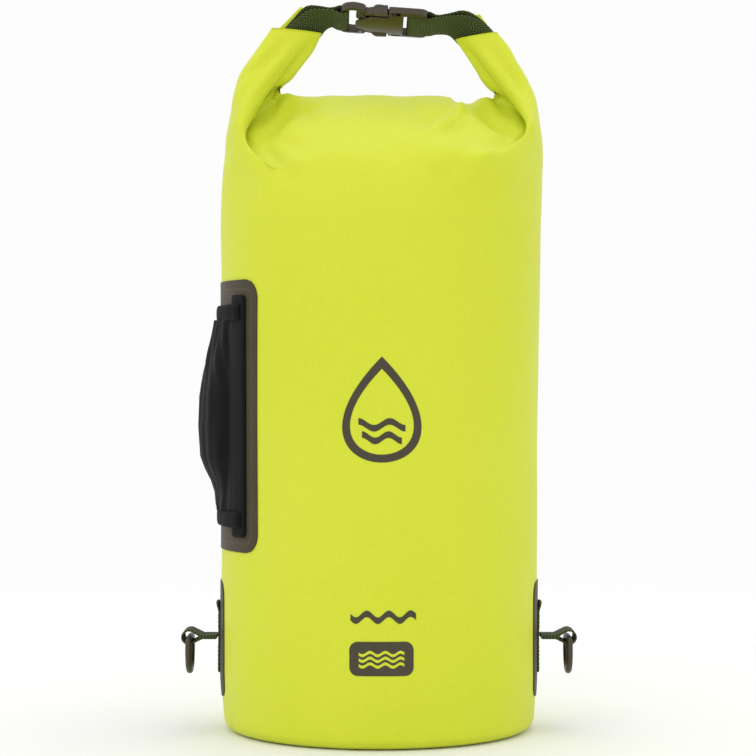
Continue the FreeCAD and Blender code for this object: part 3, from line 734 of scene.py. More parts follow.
# Creases pressed into the front and, a little less deep, the back: from x and z, to x and z, width, depth
CREASES = [
    (-49, 513, -92, 450, 3.6, 2.8),
    (-62, 512, -100, 462, 4.0, -1.6),
    (-67, 515, -102, 481, 3.4, 1.8),
    (-84, 508, -108, 466, 4.0, -1.4),
    (-97, 486, -112, 446, 5.0, 1.6),
    (-62, 470, -92, 436, 9.0, 5.5),
    (-88, 432, -66, 414, 6.0, 2.2),
    (-64, 458, -40, 462, 5.0, 1.4),
    (-84, 428, -52, 408, 7.0, -1.5),
    (-86, 440, -50, 424, 7.0, 1.6),
    (-104, 420, -98, 380, 9.0, 1.3),
    (62, 510, 99, 457, 3.6, 2.8),
    (72, 510, 104, 466, 4.0, -1.7),
    (82, 511, 112, 470, 3.4, 1.6),
    (100, 490, 117, 450, 5.0, 1.3),
    (70, 468, 103, 440, 9.0, 6.0),
    (98, 436, 76, 422, 6.0, 2.0),
    (63, 467, 56, 452, 3.5, -2.4),
    (56, 452, 34, 437, 4.5, -2.0),
    (66, 455, 46, 436, 5.5, 2.2),
    (94, 432, 60, 410, 7.0, -1.4),
    (112, 420, 104, 384, 9.0, 1.2),
    (54, 474, 66, 470, 5.0, 1.8),
    (26, 420, 52, 396, 8.0, 0.9),
    (-30, 448, -10, 430, 9.0, 0.8),
    (60, 462, 18, 436, 6.0, 1.3),
    (72, 428, 38, 396, 9.0, 1.4),
    (-86, 428, -54, 398, 8.0, 1.8),
    (-62, 474, -46, 440, 7.0, 1.6),
    (-18, 470, -40, 450, 6.0, 0.8),
    (16, 470, 34, 450, 6.0, 0.9),
    (8, 428, 30, 400, 12.0, 0.8),
]


def key_at(kind, side, face, r, k):
    """A grid point's name. A point that sheets share has one name, whichever of them asks for it."""
    if kind == "S" and k == 0:
        return ("s", side, r)
    if kind == "S":
        return ("l", side, r) if k == SIDE and r >= LOW_ROWS else ("S", side, face, r, k)
    if kind == "M" and k == 0:
        return ("m", face, r) if r < LOW_ROWS else ("mt",)
    return (kind, side, face, r, k) if r < LOW_ROWS else (kind, side, r, k)


def sag(x):
    """How far the round tube falls away from its front at x."""
    return ROUND - math.sqrt(ROUND**2 - x**2)


def panel_row(share, lip, lip_way, middle, tuck, leaves, dip):
    """One row of the front panel out to its edge, and the tuck from there to the fold's lip."""
    my, mz = middle
    xl, x = lip[0], lip[0] - FOLD_GAP
    flat = np.array([x, lip[1] * math.sqrt(1 - (x / ROUND) ** 2) / math.sqrt(1 - (xl / ROUND) ** 2), lip[2]])
    open_ = 0.0 if share <= leaves else float(ease(share, leaves, leaves + 0.09))
    edge = flat if share <= leaves else flat * (1 - open_) + np.array(tuck(share)) * open_
    reach = 1.2 + 6 * open_
    if share > 0.6:
        reach *= max(0.1, (CORNER - share) / 0.14)
    deep, place, wide = dip
    sheet = []
    for k in range(MID + 1):
        u = k / MID
        at_x = edge[0] * u
        rise = (edge[2] - mz) * u ** (2 + 3 * float(ease(share, 0.5, CORNER)))
        fall = deep * math.exp(-(((at_x - place) / wide) ** 2))
        fall *= float(ease(share, 0.62, 0.72)) * (1 - u**8)
        sheet.append(np.array([at_x, my + (edge[1] - my) * sag(at_x) / sag(edge[0]), mz + rise - fall]))
    way = sheet[-1] - sheet[-2]
    way /= np.linalg.norm(way)
    from_edge, to_lip = edge + way * reach, lip + lip_way * reach
    tucked = []
    for k in range(1, TUCK):
        t = k / TUCK
        bend = 3 * (1 - t) ** 2 * t * from_edge + 3 * (1 - t) * t * t * to_lip
        tucked.append((1 - t) ** 3 * edge + bend + t**3 * lip)
    return sheet, tucked


def bag_grid():
    """Points in millimetres, faces, and each point's place along the cloth."""
    middle = table(MIDDLE_LINE)
    shares = np.r_[np.linspace(0, CORNER, LOW_ROWS + 1), np.linspace(CORNER, 1, HORN_ROWS + 1)[1:]]
    points, at, faces = [], {}, []

    def add(p):
        points.append(tuple(p))
        return len(points) - 1

    def put(key, p):
        if key not in at:
            at[key] = add(p)

    def add_face(q, flip):
        q = list(dict.fromkeys(q))
        if len(q) > 2:
            faces.append(q[::-1] if flip else q)

    def add_ring(before, row, flip):
        """Faces between two closed lines of points. row may also be one point."""
        for k in range(len(before)):
            n = (k + 1) % len(before)
            add_face([before[k], before[n]] + ([row[n], row[k]] if isinstance(row, list) else [row]), flip)

    for side, rows, tucks, leaves, dip in SIDES:
        end = table(rows)
        first = end(0.24)
        first_y = -first[4] * math.sin(math.radians(first[5]))
        tuck = table([(0.24, first[2], first_y, first[3])] + tucks)
        for face in (-1, 1):
            for r, share in enumerate(shares):
                xs, zs, xl, zl, depth, turn = end(share)
                turn = math.radians(min(180, turn))
                w = (xs - xl) / (1 - math.cos(turn))
                for k in range(SIDE + 1):
                    a = turn * k / SIDE
                    x, y = xs - w * (1 - math.cos(a)), depth * math.sin(a)
                    z = zs + (zl - zs) * (1 - math.cos(a)) / (1 - math.cos(turn))
                    put(key_at("S", side, face, r, k), (side * x, face * y, z))
                if r > LOW_ROWS:
                    continue
                lip = np.array([xl, -depth * math.sin(turn), zl])
                climb = (zl - zs) * math.sin(turn) / (1 - math.cos(turn))
                lip_way = np.array([-w * math.sin(turn), -depth * math.cos(turn), climb])
                lip_way /= np.linalg.norm(lip_way)
                sheet, tucked = panel_row(share, lip, lip_way, middle(share), tuck, leaves, dip)
                for kind, start, line in (("M", 0, sheet), ("T", 1, tucked)):
                    for k, p in enumerate(line, start):
                        put(key_at(kind, side, face, r, k), (side * p[0], -face * p[1], p[2]))

    horn_columns = [("S", k) for k in range(SIDE, -1, -1)]
    low_columns = [("M", k) for k in range(MID + 1)] + [("T", k) for k in range(1, TUCK)] + horn_columns
    for side in (-1, 1):
        for face in (-1, 1):
            for r in range(len(shares) - 1):
                columns = low_columns if r < LOW_ROWS else horn_columns
                for (kind, k), (next_kind, n) in zip(columns, columns[1:]):
                    keys = [(kind, r, k), (next_kind, r, n), (next_kind, r + 1, n), (kind, r + 1, k)]
                    add_face([at[key_at(c, side, face, row, i)] for c, row, i in keys], side * face > 0)

    # the round wall below, the rounded base edge and the base
    ring = []
    for side, face in ((1, -1), (1, 1), (-1, 1), (-1, -1)):
        part = [at[key_at(kind, side, face, 0, k)] for kind, k in low_columns]
        ring += (part if side * face < 0 else part[::-1])[:-1]
    angle = np.array([math.atan2(points[i][0], -points[i][1]) for i in ring])
    top = sizes().closing_height / MM
    corner = sizes().base_corner / MM
    levels = [(z, 0.0) for z in np.linspace(top, corner, 46)[1:]]
    for degrees, dip in BASE_EDGE:
        a = math.radians(degrees)
        levels.append((corner - corner * math.sin(a), corner * (1 - math.cos(a)) + dip))
    levels += [(lift, inset) for inset, lift in BASE_STEPS]
    before = ring
    for z, inset in levels:
        r = wall_radius(angle, z) - inset
        row = [add((radius * math.sin(a), -radius * math.cos(a), z)) for a, radius in zip(angle, r)]
        add_ring(before, row, True)
        before = row
    add_ring(before, add((0, 0, BASE_STEPS[-1][1])), True)

    # the horns' open ends turn in and close inside
    last = len(shares) - 1
    for side in (-1, 1):
        rim = [at[key_at("S", side, -1, last, k)] for k in range(SIDE + 1)]
        rim += [at[key_at("S", side, 1, last, k)] for k in range(SIDE - 1, 0, -1)]
        loop = np.array([points[i] for i in rim])
        centre = loop.mean(axis=0)
        lower = np.array([points[at["s", side, last - 6]], points[at["l", side, last - 6]]]).mean(axis=0)
        down = lower - centre
        down /= np.linalg.norm(down)
        before = rim
        for inset, depth in HORN_STEPS:
            ways = centre - loop
            share = np.minimum(0.8, inset / np.linalg.norm(ways, axis=1))[:, None]
            row = [add(p) for p in loop + ways * share + down * depth]
            add_ring(before, row, side < 0)
            before = row
        add_ring(before, add(centre + down * HORN_STEPS[-1][1]), side < 0)
    points = np.array(points)
    run = np.abs(np.arctan2(points[:, 0], -points[:, 1])) * 118
    high = points[:, 2] > top
    run[high] = np.where(points[high, 1] <= 0, np.abs(points[high, 0]) + 60, 310 - np.abs(points[high, 0]))
    return points, faces, np.stack([run * MM, points[:, 2] * MM], axis=-1)


def press_creases(piece):
    """Moves the finished shell's points along their normals for its creases and soft dents."""
    me = piece.data
    n = len(me.vertices)
    co, no = np.zeros(n * 3), np.zeros(n * 3)
    me.vertices.foreach_get("co", co)
    me.vertices.foreach_get("normal", no)
    co, no = co.reshape(-1, 3), no.reshape(-1, 3)
    p = co / MM
    push = np.zeros(n)
    for from_x, from_z, to_x, to_z, width, depth in CREASES:
        d = np.array([to_x - from_x, to_z - from_z], float)
        q = p[:, [0, 2]] - [from_x, from_z]
        t = np.clip(q @ d / d.dot(d), 0, 1)
        away = np.linalg.norm(q - t[:, None] * d, axis=1)
        fade = np.sin(np.pi * np.clip(t * 0.86 + 0.07, 0, 1))
        front = ease(-p[:, 1], -3, 3)
        push -= depth * CREASE_SCALE * np.exp(-((away / width) ** 2)) * fade * (0.8 + 0.2 * front)
    horn = ease(p[:, 2], 474, 486)
    thin = np.maximum(push, -0.4 * np.abs(p[:, 1])) * ease(np.abs(no[:, 1]), 0.15, 0.6)
    push = push * (1 - horn) + thin * horn
    upper = ease(p[:, 2], 385, 430) * (1 - ease(p[:, 2], 500, 512))
    push += upper * 0.55 * np.sin(p[:, 0] / 11 + p[:, 2] / 17 + p[:, 1] / 23) * np.sin(p[:, 0] / 19 - p[:, 2] / 13)
    co += no * (push * MM)[:, None]
    me.vertices.foreach_set("co", co.ravel())
    me.update()


def make_shell():
    points, faces, uv = bag_grid()
    shell = new_piece("bag_shell", points, faces, coated_fabric(), uv)
    apply_modifier(shell, "SUBSURF", levels=1, render_levels=1)
    press_creases(shell)
    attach(shell, "bag")
    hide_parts("body_tube", "base_panel", "roll_middle", "left_horn", "right_horn")


def leaf(name, outline, depth, material, thickness, bow, lean):
    """A small flap of fabric: four edge points given as x and z, bowed back in its middle."""
    a, b, c, d = [np.array(p, float) for p in outline]
    shares = np.linspace(0, 1, 11)
    points, uv = [], []
    for v in shares:
        for u in shares:
            x, z = (a * (1 - u) + b * u) * (1 - v) + (d * (1 - u) + c * u) * v
            y = depth + lean * v**0.7 + bow * math.sin(math.pi * u) * (0.4 + 0.6 * (1 - v))
            points.append((x, y, z))
            uv.append((u * 0.03, v * 0.02))
    piece = new_piece(name, points, grid_faces(10, 10), material, uv)
    thicken(piece, thickness, 0.0, 0.4)
    return piece


ROLL_DROPS = (9.0, 6.0, 3.0, 1.4, 0.6)  # the layers' rows of points, down from the horn's end


def roll_layers(side):
    """The rolled mouth's layers, seen in the open end of a horn."""
    name = "left_roll_layers" if side < 0 else "right_roll_layers"
    rows = LEFT_END if side < 0 else RIGHT_END
    xs, zs, xl, zl, depth, _ = rows[-1][1:]
    centre = np.array([(xs + xl) / 2, 0, (zs + zl) / 2])
    across = np.array([xs - xl, 0, zs - zl])
    half = np.linalg.norm(across) / 2
    across /= 2 * half
    down = np.array([across[2], 0, -across[0]])
    if down[2] > 0:
        down = -down
    turns = np.linspace(0, 2.6 * 2 * math.pi, 90)
    through = np.array([0, 1, 0])
    points, uv = [], []
    for drop in ROLL_DROPS:
        for k, a in enumerate(turns):
            grow = 0.86 - 0.62 * k / (len(turns) - 1)
            flat = across * half * grow * 1.02 * math.cos(a) + through * depth * grow * 0.84 * math.sin(a)
            q = centre + flat + down * drop
            points.append((side * q[0], q[1], q[2]))
            uv.append((k * 0.001, drop * MM))
    faces = grid_faces(len(ROLL_DROPS) - 1, len(turns) - 1)
    piece = new_piece(name, points, faces, coated_fabric(), uv)
    thicken(piece, 0.5, 0.0)
    return piece


def make_roll_ends():
    left = [(-86.5, 512.5), (-54, 508), (-49.2, 538.6), (-59.6, 542.4)]
    right = [(66, 504), (92.5, 511), (76.0, 535.6), (65.0, 533.0)]
    flaps = [
        leaf("left_roll_corner", left, 4.4, coated_fabric(), 1.6, 2.0, 15.0),
        leaf("right_roll_corner", right, 4.4, coated_fabric(), 1.6, 2.5, 7.0),
        roll_layers(-1),
        roll_layers(1),
    ]
    for piece in flaps:
        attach(piece, "bag")


# ---- printed marks ------------------------------------------------------------------------------
def film(name, outlines, centre_x, centre_z):
    """A thin printed film on the front wall, from closed lines of x and z in millimetres. Inner lines are holes."""
    curve = bpy.data.curves.new(name, "CURVE")
    curve.dimensions = "2D"
    curve.fill_mode = "BOTH"
    for outline in outlines:
        spline = curve.splines.new("POLY")
        spline.points.add(len(outline) - 1)
        for point, (x, z) in zip(spline.points, outline):
            point.co = (x, z, 0, 1)
        spline.use_cyclic_u = True
    pick(in_scene(name, curve))
    bpy.ops.object.convert(target="MESH")
    piece = bpy.context.object
    edit_mesh(piece, remove_doubles={"threshold": 0.01})
    low = [min(v.co[k] for v in piece.data.vertices) for k in (0, 1)]
    high = [max(v.co[k] for v in piece.data.vertices) for k in (0, 1)]
    bm = bmesh.new()
    bm.from_mesh(piece.data)
    for axis, step in ((0, 3.0), (1, 9.0)):
        normal = Vector((axis == 0, axis == 1, 0))
        for k in range(1, int((high[axis] - low[axis]) / step) + 1):
            geom = bm.verts[:] + bm.edges[:] + bm.faces[:]
            bmesh.ops.bisect_plane(bm, geom=geom, plane_co=normal * (low[axis] + k * step), plane_no=normal)
    bm.to_mesh(piece.data)
    bm.free()
    radius = sizes().wall_radius / MM
    for v in piece.data.vertices:
        place = on_wall(np.array((v.co.x + centre_x) / radius), v.co.y + centre_z, 0.22)
        v.co = Vector(place.tolist()) * MM
    piece.data.materials.clear()
    piece.data.materials.append(printed_film())
    pick(piece)
    bpy.ops.object.shade_smooth()
    out = sum(p.normal.y * p.area for p in piece.data.polygons)
    if out > 0:
        piece.data.flip_normals()
    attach(piece, "bag")


def drop_outline(width, height, low):
    """A water drop: round below, pointed above."""
    u = 0.5 - 0.5 * np.cos(np.linspace(0, math.pi, 72))
    half = width / 2 * 2.598 * np.sqrt(u) * (1 - u)
    z = low + u * height
    right = list(zip(half, z))
    left = list(zip(-half, z))
    return right + left[::-1][1:-1]


def wave_band(half, low, height, swing, turns):
    """A band between two like waves."""
    x = np.linspace(-half, half, 60)
    wave = swing * np.sin(x / half * math.pi * turns)
    upper = list(zip(x, low + height + wave))
    under = list(zip(x, low + wave))
    return upper + under[::-1]


def make_print():
    film("print_drop", [drop_outline(56, 74, -37), drop_outline(45, 60, -31.5)], 2.0, 239.0)
    film("print_drop_wave_high", [wave_band(16.5, -13, 4.6, 2.4, 1.5)], 2.0, 239.0)
    film("print_drop_wave_low", [wave_band(14.0, -22, 4.6, 2.2, 1.5)], 2.0, 239.0)
    film("print_long_wave", [wave_band(23, -2.2, 4.6, 2.4, 3)], 3.0, 94.0)
    corner, w, h = 6.0, 22.5 - 6.0, 12.0 - 6.0
    outer = []
    for cx, cz, start in ((w, h, 0), (-w, h, 90), (-w, -h, 180), (w, -h, 270)):
        turns = [math.radians(start + a) for a in range(0, 91, 10)]
        outer += [(cx + corner * math.cos(a), cz + corner * math.sin(a)) for a in turns]
    holes = [wave_band(16, low, 2.2, 1.2, 3) for low in (2.4, -1.6, -5.6)]
    film("print_badge", [outer] + holes, 1.7, 65.0)


# ---- webbing between the rolled ends and the buckle ---------------------------------------------
BUCKLE_CENTRE = Vector((3.5, -4.0, 528.0))
BUCKLE_TURN = Matrix.Rotation(math.radians(4), 3, "Y") @ Matrix.Rotation(math.radians(-22), 3, "X")


def in_buckle(x, y, z):
    return np.array(BUCKLE_TURN @ Vector((x, y, z)) + BUCKLE_CENTRE)


# Each side's webbing in the rolled end: centres and directions across. Then its place on the buckle:
# the bar's x, where the layers part, where they join, and which way the bend faces
STRAP_ENDS = {
    -1: (
        [
            ((-76.0, 0.5, 495.5), (0.86, 0.0, -0.51)),
            ((-66.2, 0.2, 508.5), (0.86, 0.12, -0.50)),
            ((-55.2, -0.2, 521.3), (0.84, 0.45, -0.30)),
            ((-47.2, -1.6, 528.8), (0.56, 0.68, -0.48)),
        ],
        (-29.5, -33.6, -40.0, 1),
    ),
    1: (
        [
            ((88.8, 0.5, 493), (-0.82, 0.0, -0.57)),
            ((81.6, 0.2, 505.8), (-0.80, 0.12, -0.59)),
            ((69.6, -0.2, 518.2), (-0.76, 0.34, -0.52)),
            ((58.0, -1.6, 525.2), (-0.52, 0.72, -0.44)),
        ],
        (20.8, 33.4, 41.0, -1),
    ),
}


def strap_stations(side):
    """The webbing's line: out of the horn, round the buckle's bar and back, as centres and directions across."""
    y_axis = np.array(BUCKLE_TURN @ Vector((0, 1, 0)))
    horn, (turn_x, end_x, join_x, way) = STRAP_ENDS[side]
    down = []
    for k, (c, a) in enumerate(horn):
        c, a = np.array(c, float), np.array(a, float)
        a /= np.linalg.norm(a)
        ahead = np.array(horn[min(k + 1, 3)][0]) - np.array(horn[max(k - 1, 0)][0])
        n = np.cross(ahead / np.linalg.norm(ahead), a)
        n /= np.linalg.norm(n)
        if n[1] > 0:
            n = -n
        down.append((c, a, n))
    under, over = [], []
    gaps = (0.75, 0.75, 1.0, 1.4)
    lifts = (0.0, 0.0, 1.0, 2.0)
    for (c, a, n), gap, lift in zip(down, gaps, lifts):
        under.append((c + n * gap, a))
        over.append((c - n * gap + np.array([0, 0, lift]), a))
    for x, gap in ((join_x, 0.85), (end_x, 2.95), (turn_x, 3.0)):
        under.append((in_buckle(x, 0, -gap), y_axis))
        over.append((in_buckle(x, 0, gap), y_axis))
    bend = []
    for a in np.radians([-45, 0, 45]):
        bend.append((in_buckle(turn_x + way * 3.0 * math.cos(a), 0, 3.0 * math.sin(a)), y_axis))
    return under + bend + over[::-1]


def make_straps():
    s = sizes()
    width, thick = s.webbing_width / MM, s.webbing_thickness / MM
    left = webbing("left_webbing", strap_stations(-1), 120, width, thick, webbing_cloth())
    right = webbing("right_webbing", strap_stations(1), 120, width, thick, webbing_cloth())
    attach(right, "bag")
    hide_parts("right_strap")
    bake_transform(left)
    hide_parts("left_strap")


# ---- buckle -------------------------------------------------------------------------------------
def arch_near_rail(piece):
    """The plug half's near rail bows up over the webbing."""
    back = BUCKLE_TURN.transposed()
    for v in piece.data.vertices:
        p = back @ (v.co / MM - BUCKLE_CENTRE)
        t = min(1.0, max(0.0, (p.x + 33.0) / 21.0))
        p.z += 2.3 * math.sin(math.pi * t) * float(ease(-p.y, 7, 14))
        v.co = (BUCKLE_TURN @ p + BUCKLE_CENTRE) * MM


def make_buckle():
    cell = sizes().buckle_cell / MM
    for node, name, body, finer, passes in (
        ("buckle_male", "buckle_plug_half", "buckle_male", 1.0, 7),
        ("buckle_socket", "buckle_socket_half", "bag", 0.8, 3),
        ("latch_arm_near", "buckle_near_arm", "latch_near", 1.0, 6),
        ("latch_arm_far", "buckle_far_arm", "latch_far", 1.0, 6),
    ):
        piece = moulded_round(merged_copy(node, name, buckle_plastic()), cell * finer, passes)
        if node == "buckle_male":
            arch_near_rail(piece)
        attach(piece, body)
        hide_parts(node)


# ---- side pocket --------------------------------------------------------------------------------
LEFT = math.radians(-90)
# Sheets on the wall: width, low, high and corner
POCKET_PATCH = (176, 135, 332, 14)
BINDING = (20, 146, 321, 4)
RING_PATCH = (62, 25.5, 110.5, 10)
SEWN_WEBBING = (25, 42, 94, 1.5)
BINDING_ANGLE = math.radians(31.55)  # each binding's middle, from the bag's side
BINDING_RISE = 0.7  # how far a binding's middle stands off the patch
FOOT_LOW, FOOT_HIGH = 153, 164
HEM_LOW, HEM_HIGH = 303, 314


def pocket_profile(z):
    """How far the pocket's mesh stands off the wall in its middle, in millimetres."""
    heights = [153, 158, 164, 167, 171, 176, 185, 194, 203, 225, 247.6, 256.5, 274.4, 292.3, 303, 314]
    rises = [0.9, 1.0, 1.2, 1.9, 2.2, 2.6, 5.6, 10.4, 13.8, 15.2, 14.4, 12.8, 9.6, 4.6, 2.0, 1.6]
    return np.interp(z, heights, rises)


def band_on_patch(name, half_angle, low, high, rise, thickness, material, across, up):
    """A band of cloth from one tape to the other. rise(share across, z) is how far it stands off."""
    radius = sizes().wall_radius / MM
    base = sizes().patch_thickness / MM + 0.15
    u = np.linspace(-1, 1, across + 1)
    points, uv = [], []
    for z in np.linspace(low, high, up + 1):
        off = base + rise(u, z)
        points.append(on_wall(LEFT + u * half_angle, z, off))
        uv.append(np.stack([u * half_angle * radius * MM, np.full(across + 1, z * MM)], axis=-1))
    points, uv = np.concatenate(points), np.concatenate(uv)
    piece = new_piece(name, points, grid_faces(up, across), material, uv)
    thicken(piece, thickness, 1.0)
    return piece


def edge_rise(u, z, z_middle, ribs):
    """The hems' common shape: how round they are at z, their ribs, and how they sink at the bindings."""
    return 1 - abs((z - z_middle) / 5.5) ** 4, ribs * np.abs(np.sin(u * 60)), 1.2 * ease(np.abs(u), 0.93, 1.0)


def hem_rise(u, z):
    across, rib, sink = edge_rise(u, z, (HEM_LOW + HEM_HIGH) / 2, 0.35)
    return 1.1 + 1.1 * ease(np.abs(u), 0.55, 0.78) + rib * (0.4 + across) + 0.5 * across - sink


def foot_rise(u, z):
    across, rib, sink = edge_rise(u, z, (FOOT_LOW + FOOT_HIGH) / 2, 0.3)
    return 2.0 + rib + 0.6 * across - sink - 0.9 * (1 - ease(np.abs(u), 0.5, 0.75))


def mesh_rise(u, z):
    """The gathered mesh: fullest in its middle, with soft folds that die out at the bindings."""
    full = float(pocket_profile(z))
    gathered = 0.25 + math.exp(-max(0.0, HEM_LOW - z) / 34) + 0.7 * math.exp(-max(0.0, z - FOOT_HIGH) / 22)
    lean = 0.05 * math.sin(z / 29.0) + 0.03 * math.sin(z / 13.0 + 1.0)
    wide = np.sin((u + lean) * 13.5 + 0.7 * math.sin(z / 47.0))
    narrow = np.sin((u - 1.4 * lean) * 31.0 + 1.3 * math.sin(z / 23.0 + 2.0))
    inside = 1 - ease(np.abs(u), 0.82, 1.0)
    folds = sizes().mesh_pleat / MM * gathered * (0.75 * wide + 0.35 * narrow) * inside
    swell = full * (1 - np.clip(np.abs(u) / 0.86, 0, 1) ** 2.1) ** 0.8
    return np.maximum(swell + folds + 0.5, 0.5 + 0.8 * inside + 0.5 * folds)


def binding_lift(across, z):
    """The bindings' edges lie down on the patch."""
    return -BINDING_RISE * ease(np.abs(across), 6, 10)


def make_pocket():
    s = sizes()
    thick, tape, radius = s.patch_thickness / MM, s.tape_thickness / MM, s.wall_radius / MM
    patch = wall_sheet("pocket_backing_patch", LEFT, *POCKET_PATCH, 0.0, thick, patch_cloth())
    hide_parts("pocket_patch")
    pieces = [patch]
    for side, name, node in (
        (1, "pocket_front_binding", "pocket_tape_front"),
        (-1, "pocket_back_binding", "pocket_tape_back"),
    ):
        angle = LEFT + side * BINDING_ANGLE
        off, black = thick + BINDING_RISE, black_tape()
        piece = wall_sheet(name, angle, *BINDING, off, tape, black, lift=binding_lift, cell=2.5)
        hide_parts(node)
        rows = []
        for s_at in (-7.6, 7.6):
            rows += [stitch_at(angle + s_at / radius, z, thick + 0.35 + tape) for z in np.arange(150, 318, 4.1)]
        sewn = stitches(name + "_stitches", rows, black)
        pieces += [piece, sewn]
    for name, node, low, high, rise in (
        ("pocket_elastic_hem", "pocket_hem", HEM_LOW, HEM_HIGH, hem_rise),
        ("pocket_lower_hem", "pocket_foot", FOOT_LOW, FOOT_HIGH, foot_rise),
    ):
        hem = band_on_patch(name, math.radians(34.0), low, high, rise, 0.9, black_tape(), across=150, up=8)
        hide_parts(node)
        pieces.append(hem)
    half, low, high = math.radians(29.0), FOOT_HIGH - 1, HEM_LOW + 1
    net = band_on_patch("pocket_net", half, low, high, mesh_rise, 0.45, mesh_cloth(), across=140, up=70)
    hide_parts("pocket_mesh")
    pieces.append(net)
    for piece in pieces:
        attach(piece, "bag")


# ---- D-ring mounts ------------------------------------------------------------------------------
def anchor_lift(across, z):
    """The sewn webbing rises to its loop."""
    return 1.6 * ease(z, 86, 94)


def make_ring_mounts():
    s = sizes()
    thick, web, radius = s.patch_thickness / MM, s.webbing_thickness / MM, s.wall_radius / MM
    for side, word in ((-1, "left"), (1, "right")):
        angle = side * math.radians(90)
        patch = wall_sheet(word + "_ring_backing", angle, *RING_PATCH, 0.0, thick, patch_cloth())
        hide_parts(word + "_ring_patch")
        name, cloth = word + "_sewn_webbing", webbing_cloth()
        anchor = wall_sheet(name, angle, *SEWN_WEBBING, thick, web, cloth, lift=anchor_lift, cell=1.6)
        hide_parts(word + "_ring_anchor")
        rows = []
        for z0, z1 in ((45, 60), (76, 84)):
            for off in (-10.3, 10.3):
                rows += [stitch_at(angle + off / radius, z, thick + web) for z in np.arange(z0, z1, 3.2)]
            for z in (z0 - 1, z1):
                rows += [stitch_at(angle + off / radius, z, thick + web, True) for off in np.arange(-8.5, 9, 3.4)]
        sewn = stitches(word + "_mount_stitches", rows, thread())
        for piece in (patch, anchor, sewn):
            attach(piece, "bag")
        loop = bevelled(merged_copy(word + "_ring_tab", word + "_webbing_loop", cloth), 0.3)
        me = loop.data
        layer = me.uv_layers.new(name="cloth") if "cloth" not in me.uv_layers else me.uv_layers["cloth"]
        for face in me.polygons:
            flat = abs(face.normal.z) > abs(face.normal.x)
            for i in face.loop_indices:
                co = me.vertices[me.loops[i].vertex_index].co
                layer.data[i].uv = (co.y, co.x if flat else co.z)
        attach(loop, word + "_tab")
        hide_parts(word + "_ring_tab")
        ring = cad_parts[word + "_ring_ring"]
        ring.data.materials.clear()
        ring.data.materials.append(ring_plastic())


def keep_inside(piece, shell, margin):
    """Moves points of a hidden piece that come through the shell back inside it."""
    mesh = bmesh.new()
    mesh.from_mesh(piece.data)
    for _ in range(4):
        long = [e for e in mesh.edges if e.calc_length() > 6 * MM]
        if not long:
            break
        bmesh.ops.subdivide_edges(mesh, edges=long, cuts=1, use_grid_fill=True)
    for v in mesh.verts:
        found, near, normal, _ = shell.closest_point_on_mesh(v.co)
        if found and (v.co - near).dot(normal) > -margin * MM:
            v.co = near - normal * margin * MM
    bmesh.ops.triangulate(mesh, faces=mesh.faces)
    mesh.to_mesh(piece.data)
    mesh.free()


def make_hidden():
    """The strip and the webbing inside the rolled mouth, kept clear of the horns' inner edges."""
    for node, name, material, slot in (
        ("mouth_stiffener", "hidden_stiffener", ring_plastic(), "stiffener_plastic"),
        ("mouth_webbing", "hidden_webbing", webbing_cloth(), "olive_webbing"),
    ):
        piece = merged_copy(node, name, material)
        for v in piece.data.vertices:
            x, _, z = v.co / MM
            rows = LEFT_END if x < 0 else RIGHT_END
            edge = [r for r in rows if r[0] >= CORNER]
            corner_z = edge[0][4]
            if abs(x) > 58 and z > corner_z - 14:
                inner = float(np.interp(z, [r[4] for r in edge], [r[3] for r in edge]))
                x = math.copysign(max(abs(x), inner + max(0.0, corner_z - z) + 3.5), x)
            else:
                z = min(z, 464 - (5 if x > 40 else 0))
            v.co.x, v.co.z = x * MM, z * MM
        keep_inside(piece, bpy.data.objects["bag_shell"], 1.0)
        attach(piece, "bag")
        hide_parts(node)


# ---- stage --------------------------------------------------------------------------------------
def area_light(name, place, aim, width, height, power):
    data = bpy.data.lights.new(name, "AREA")
    data.shape, data.size, data.size_y, data.energy = "RECTANGLE", width, height, power
    lamp = in_scene(name, data)
    lamp.location = place
    lamp.rotation_euler = (Vector(aim) - Vector(place)).to_track_quat("-Z", "Y").to_euler()


def make_stage():
    for name in ("Cube", "Light", "Camera"):
        if name in bpy.data.objects:
            bpy.data.objects.remove(bpy.data.objects[name])
    deselect()
    bpy.ops.mesh.primitive_plane_add(size=12.0, location=(0, 0, -0.0005))
    floor = bpy.context.object
    floor.name = "studio_floor"
    m, t, p = new_material("studio floor")
    grain = use_group(t, soft_grain, Place=object_place(t), Slow=1.5, Fine=300.0)
    paper = blend_colours(t, grain.outputs["Drift"], (0.90, 0.90, 0.90, 1), (0.93, 0.93, 0.93, 1))
    t.links.new(paper, p.inputs["Base Color"])
    p.inputs["Roughness"].default_value = 0.8
    reach = add_node(t, "ShaderNodeVectorMath", {"operation": "LENGTH"}, i0=object_place(t)).outputs["Value"]
    t.links.new(maths(t, "DIVIDE", maths(t, "SUBTRACT", 1.5, reach), 1.1, clamp=True), p.inputs["Alpha"])
    floor.data.materials.append(m)
    world = bpy.data.worlds.new("studio")
    bpy.context.scene.world = world
    world.use_nodes = True
    sky = world.node_tree.nodes["Background"]
    sky.inputs[0].default_value = (1, 1, 1, 1)
    sky.inputs[1].default_value = 0.98
    area_light("key", (-1.1, -1.9, 1.7), (0, 0, 0.27), 1.5, 1.1, 6)
    area_light("fill", (1.7, -1.5, 0.9), (0, 0, 0.27), 1.4, 1.4, 1.0)
    area_light("top", (0.1, 0.5, 2.1), (0, 0, 0.3), 1.5, 1.5, 7)
    camera = in_scene("camera", bpy.data.cameras.new("camera"))
    camera.data.lens, camera.data.sensor_width, camera.data.clip_end = 108.0, 36.0, 50.0
    camera.location = (-0.00075, -1.70, 0.261)
    camera.rotation_euler = (math.radians(90), 0, 0)
    bpy.context.scene.camera = camera
    bpy.context.scene.view_settings.view_transform = "Standard"


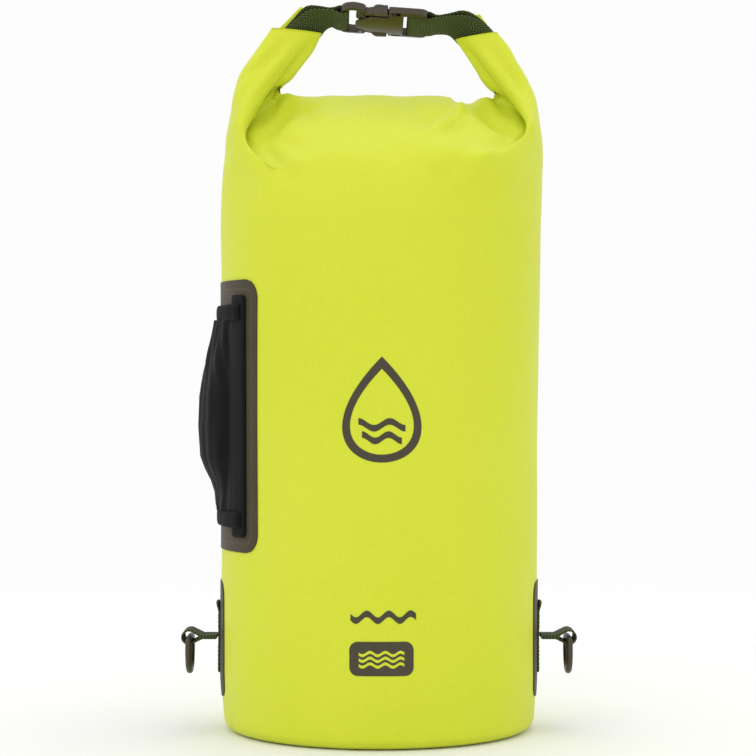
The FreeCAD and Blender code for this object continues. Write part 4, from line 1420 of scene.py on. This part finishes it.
# ---- operators and panel ------------------------------------------------------------------------
def maker(name, label, doc, *steps):
    """An operator class that runs the given steps."""

    def execute(self, context):
        for step in steps:
            step()
        return {"FINISHED"}

    settings = {
        "bl_idname": "dry_bag." + name,
        "bl_label": label,
        "__doc__": doc,
        "bl_options": {"REGISTER", "UNDO"},
        "execute": execute,
    }
    return type("DRYBAG_OT_" + name, (bpy.types.Operator,), settings)


OPERATORS = [
    maker("stage", "Stage", "Adds the floor, lights and camera", make_stage),
    maker("shell", "Bag shell", "Builds the tube, its base and the rolled, folded mouth", make_shell),
    maker("roll_ends", "Rolled ends", "Adds the layers and corners at the two rolled ends", make_roll_ends),
    maker("printed_marks", "Printed marks", "Adds the generic printed marks on the front", make_print),
    maker("straps", "Webbing", "Adds the webbing from the rolled ends to the buckle", make_straps),
    maker("buckle", "Buckle", "Finishes the buckle's halves and latch arms", make_buckle),
    maker("pocket", "Side pocket", "Adds the patch, bindings, hems and gathered mesh", make_pocket),
    maker("ring_mounts", "D-ring mounts", "Adds the small patches, webbing loops and rings", make_ring_mounts),
    maker("hidden_pieces", "Hidden pieces", "Builds the strip and the webbing inside the rolled mouth", make_hidden),
]


class DRYBAG_PT_panel(bpy.types.Panel):
    """Sizes, colours and steps of the dry bag"""

    bl_idname = "DRYBAG_PT_panel"
    bl_label = "Dry bag"
    bl_space_type = "VIEW_3D"
    bl_region_type = "UI"
    bl_category = "Dry bag"

    def draw(self, context):
        for group in (context.scene.dry_bag_sizes, context.scene.dry_bag_colours):
            box = self.layout.box()
            for key in group.__annotations__:
                box.prop(group, key)
        for operator in OPERATORS:
            self.layout.operator(operator.bl_idname)


CLASSES = [BagSizes, BagColours, *OPERATORS, DRYBAG_PT_panel]


def register():
    for c in CLASSES:
        bpy.utils.register_class(c)
    bpy.types.Scene.dry_bag_sizes = bpy.props.PointerProperty(type=BagSizes)
    bpy.types.Scene.dry_bag_colours = bpy.props.PointerProperty(type=BagColours)


def unregister():
    del bpy.types.Scene.dry_bag_colours
    del bpy.types.Scene.dry_bag_sizes
    for c in reversed(CLASSES):
        bpy.utils.unregister_class(c)


def main():
    register()
    for operator in OPERATORS:
        group, name = operator.bl_idname.split(".")
        getattr(getattr(bpy.ops, group), name)()


if __name__ == "__main__":
    main()
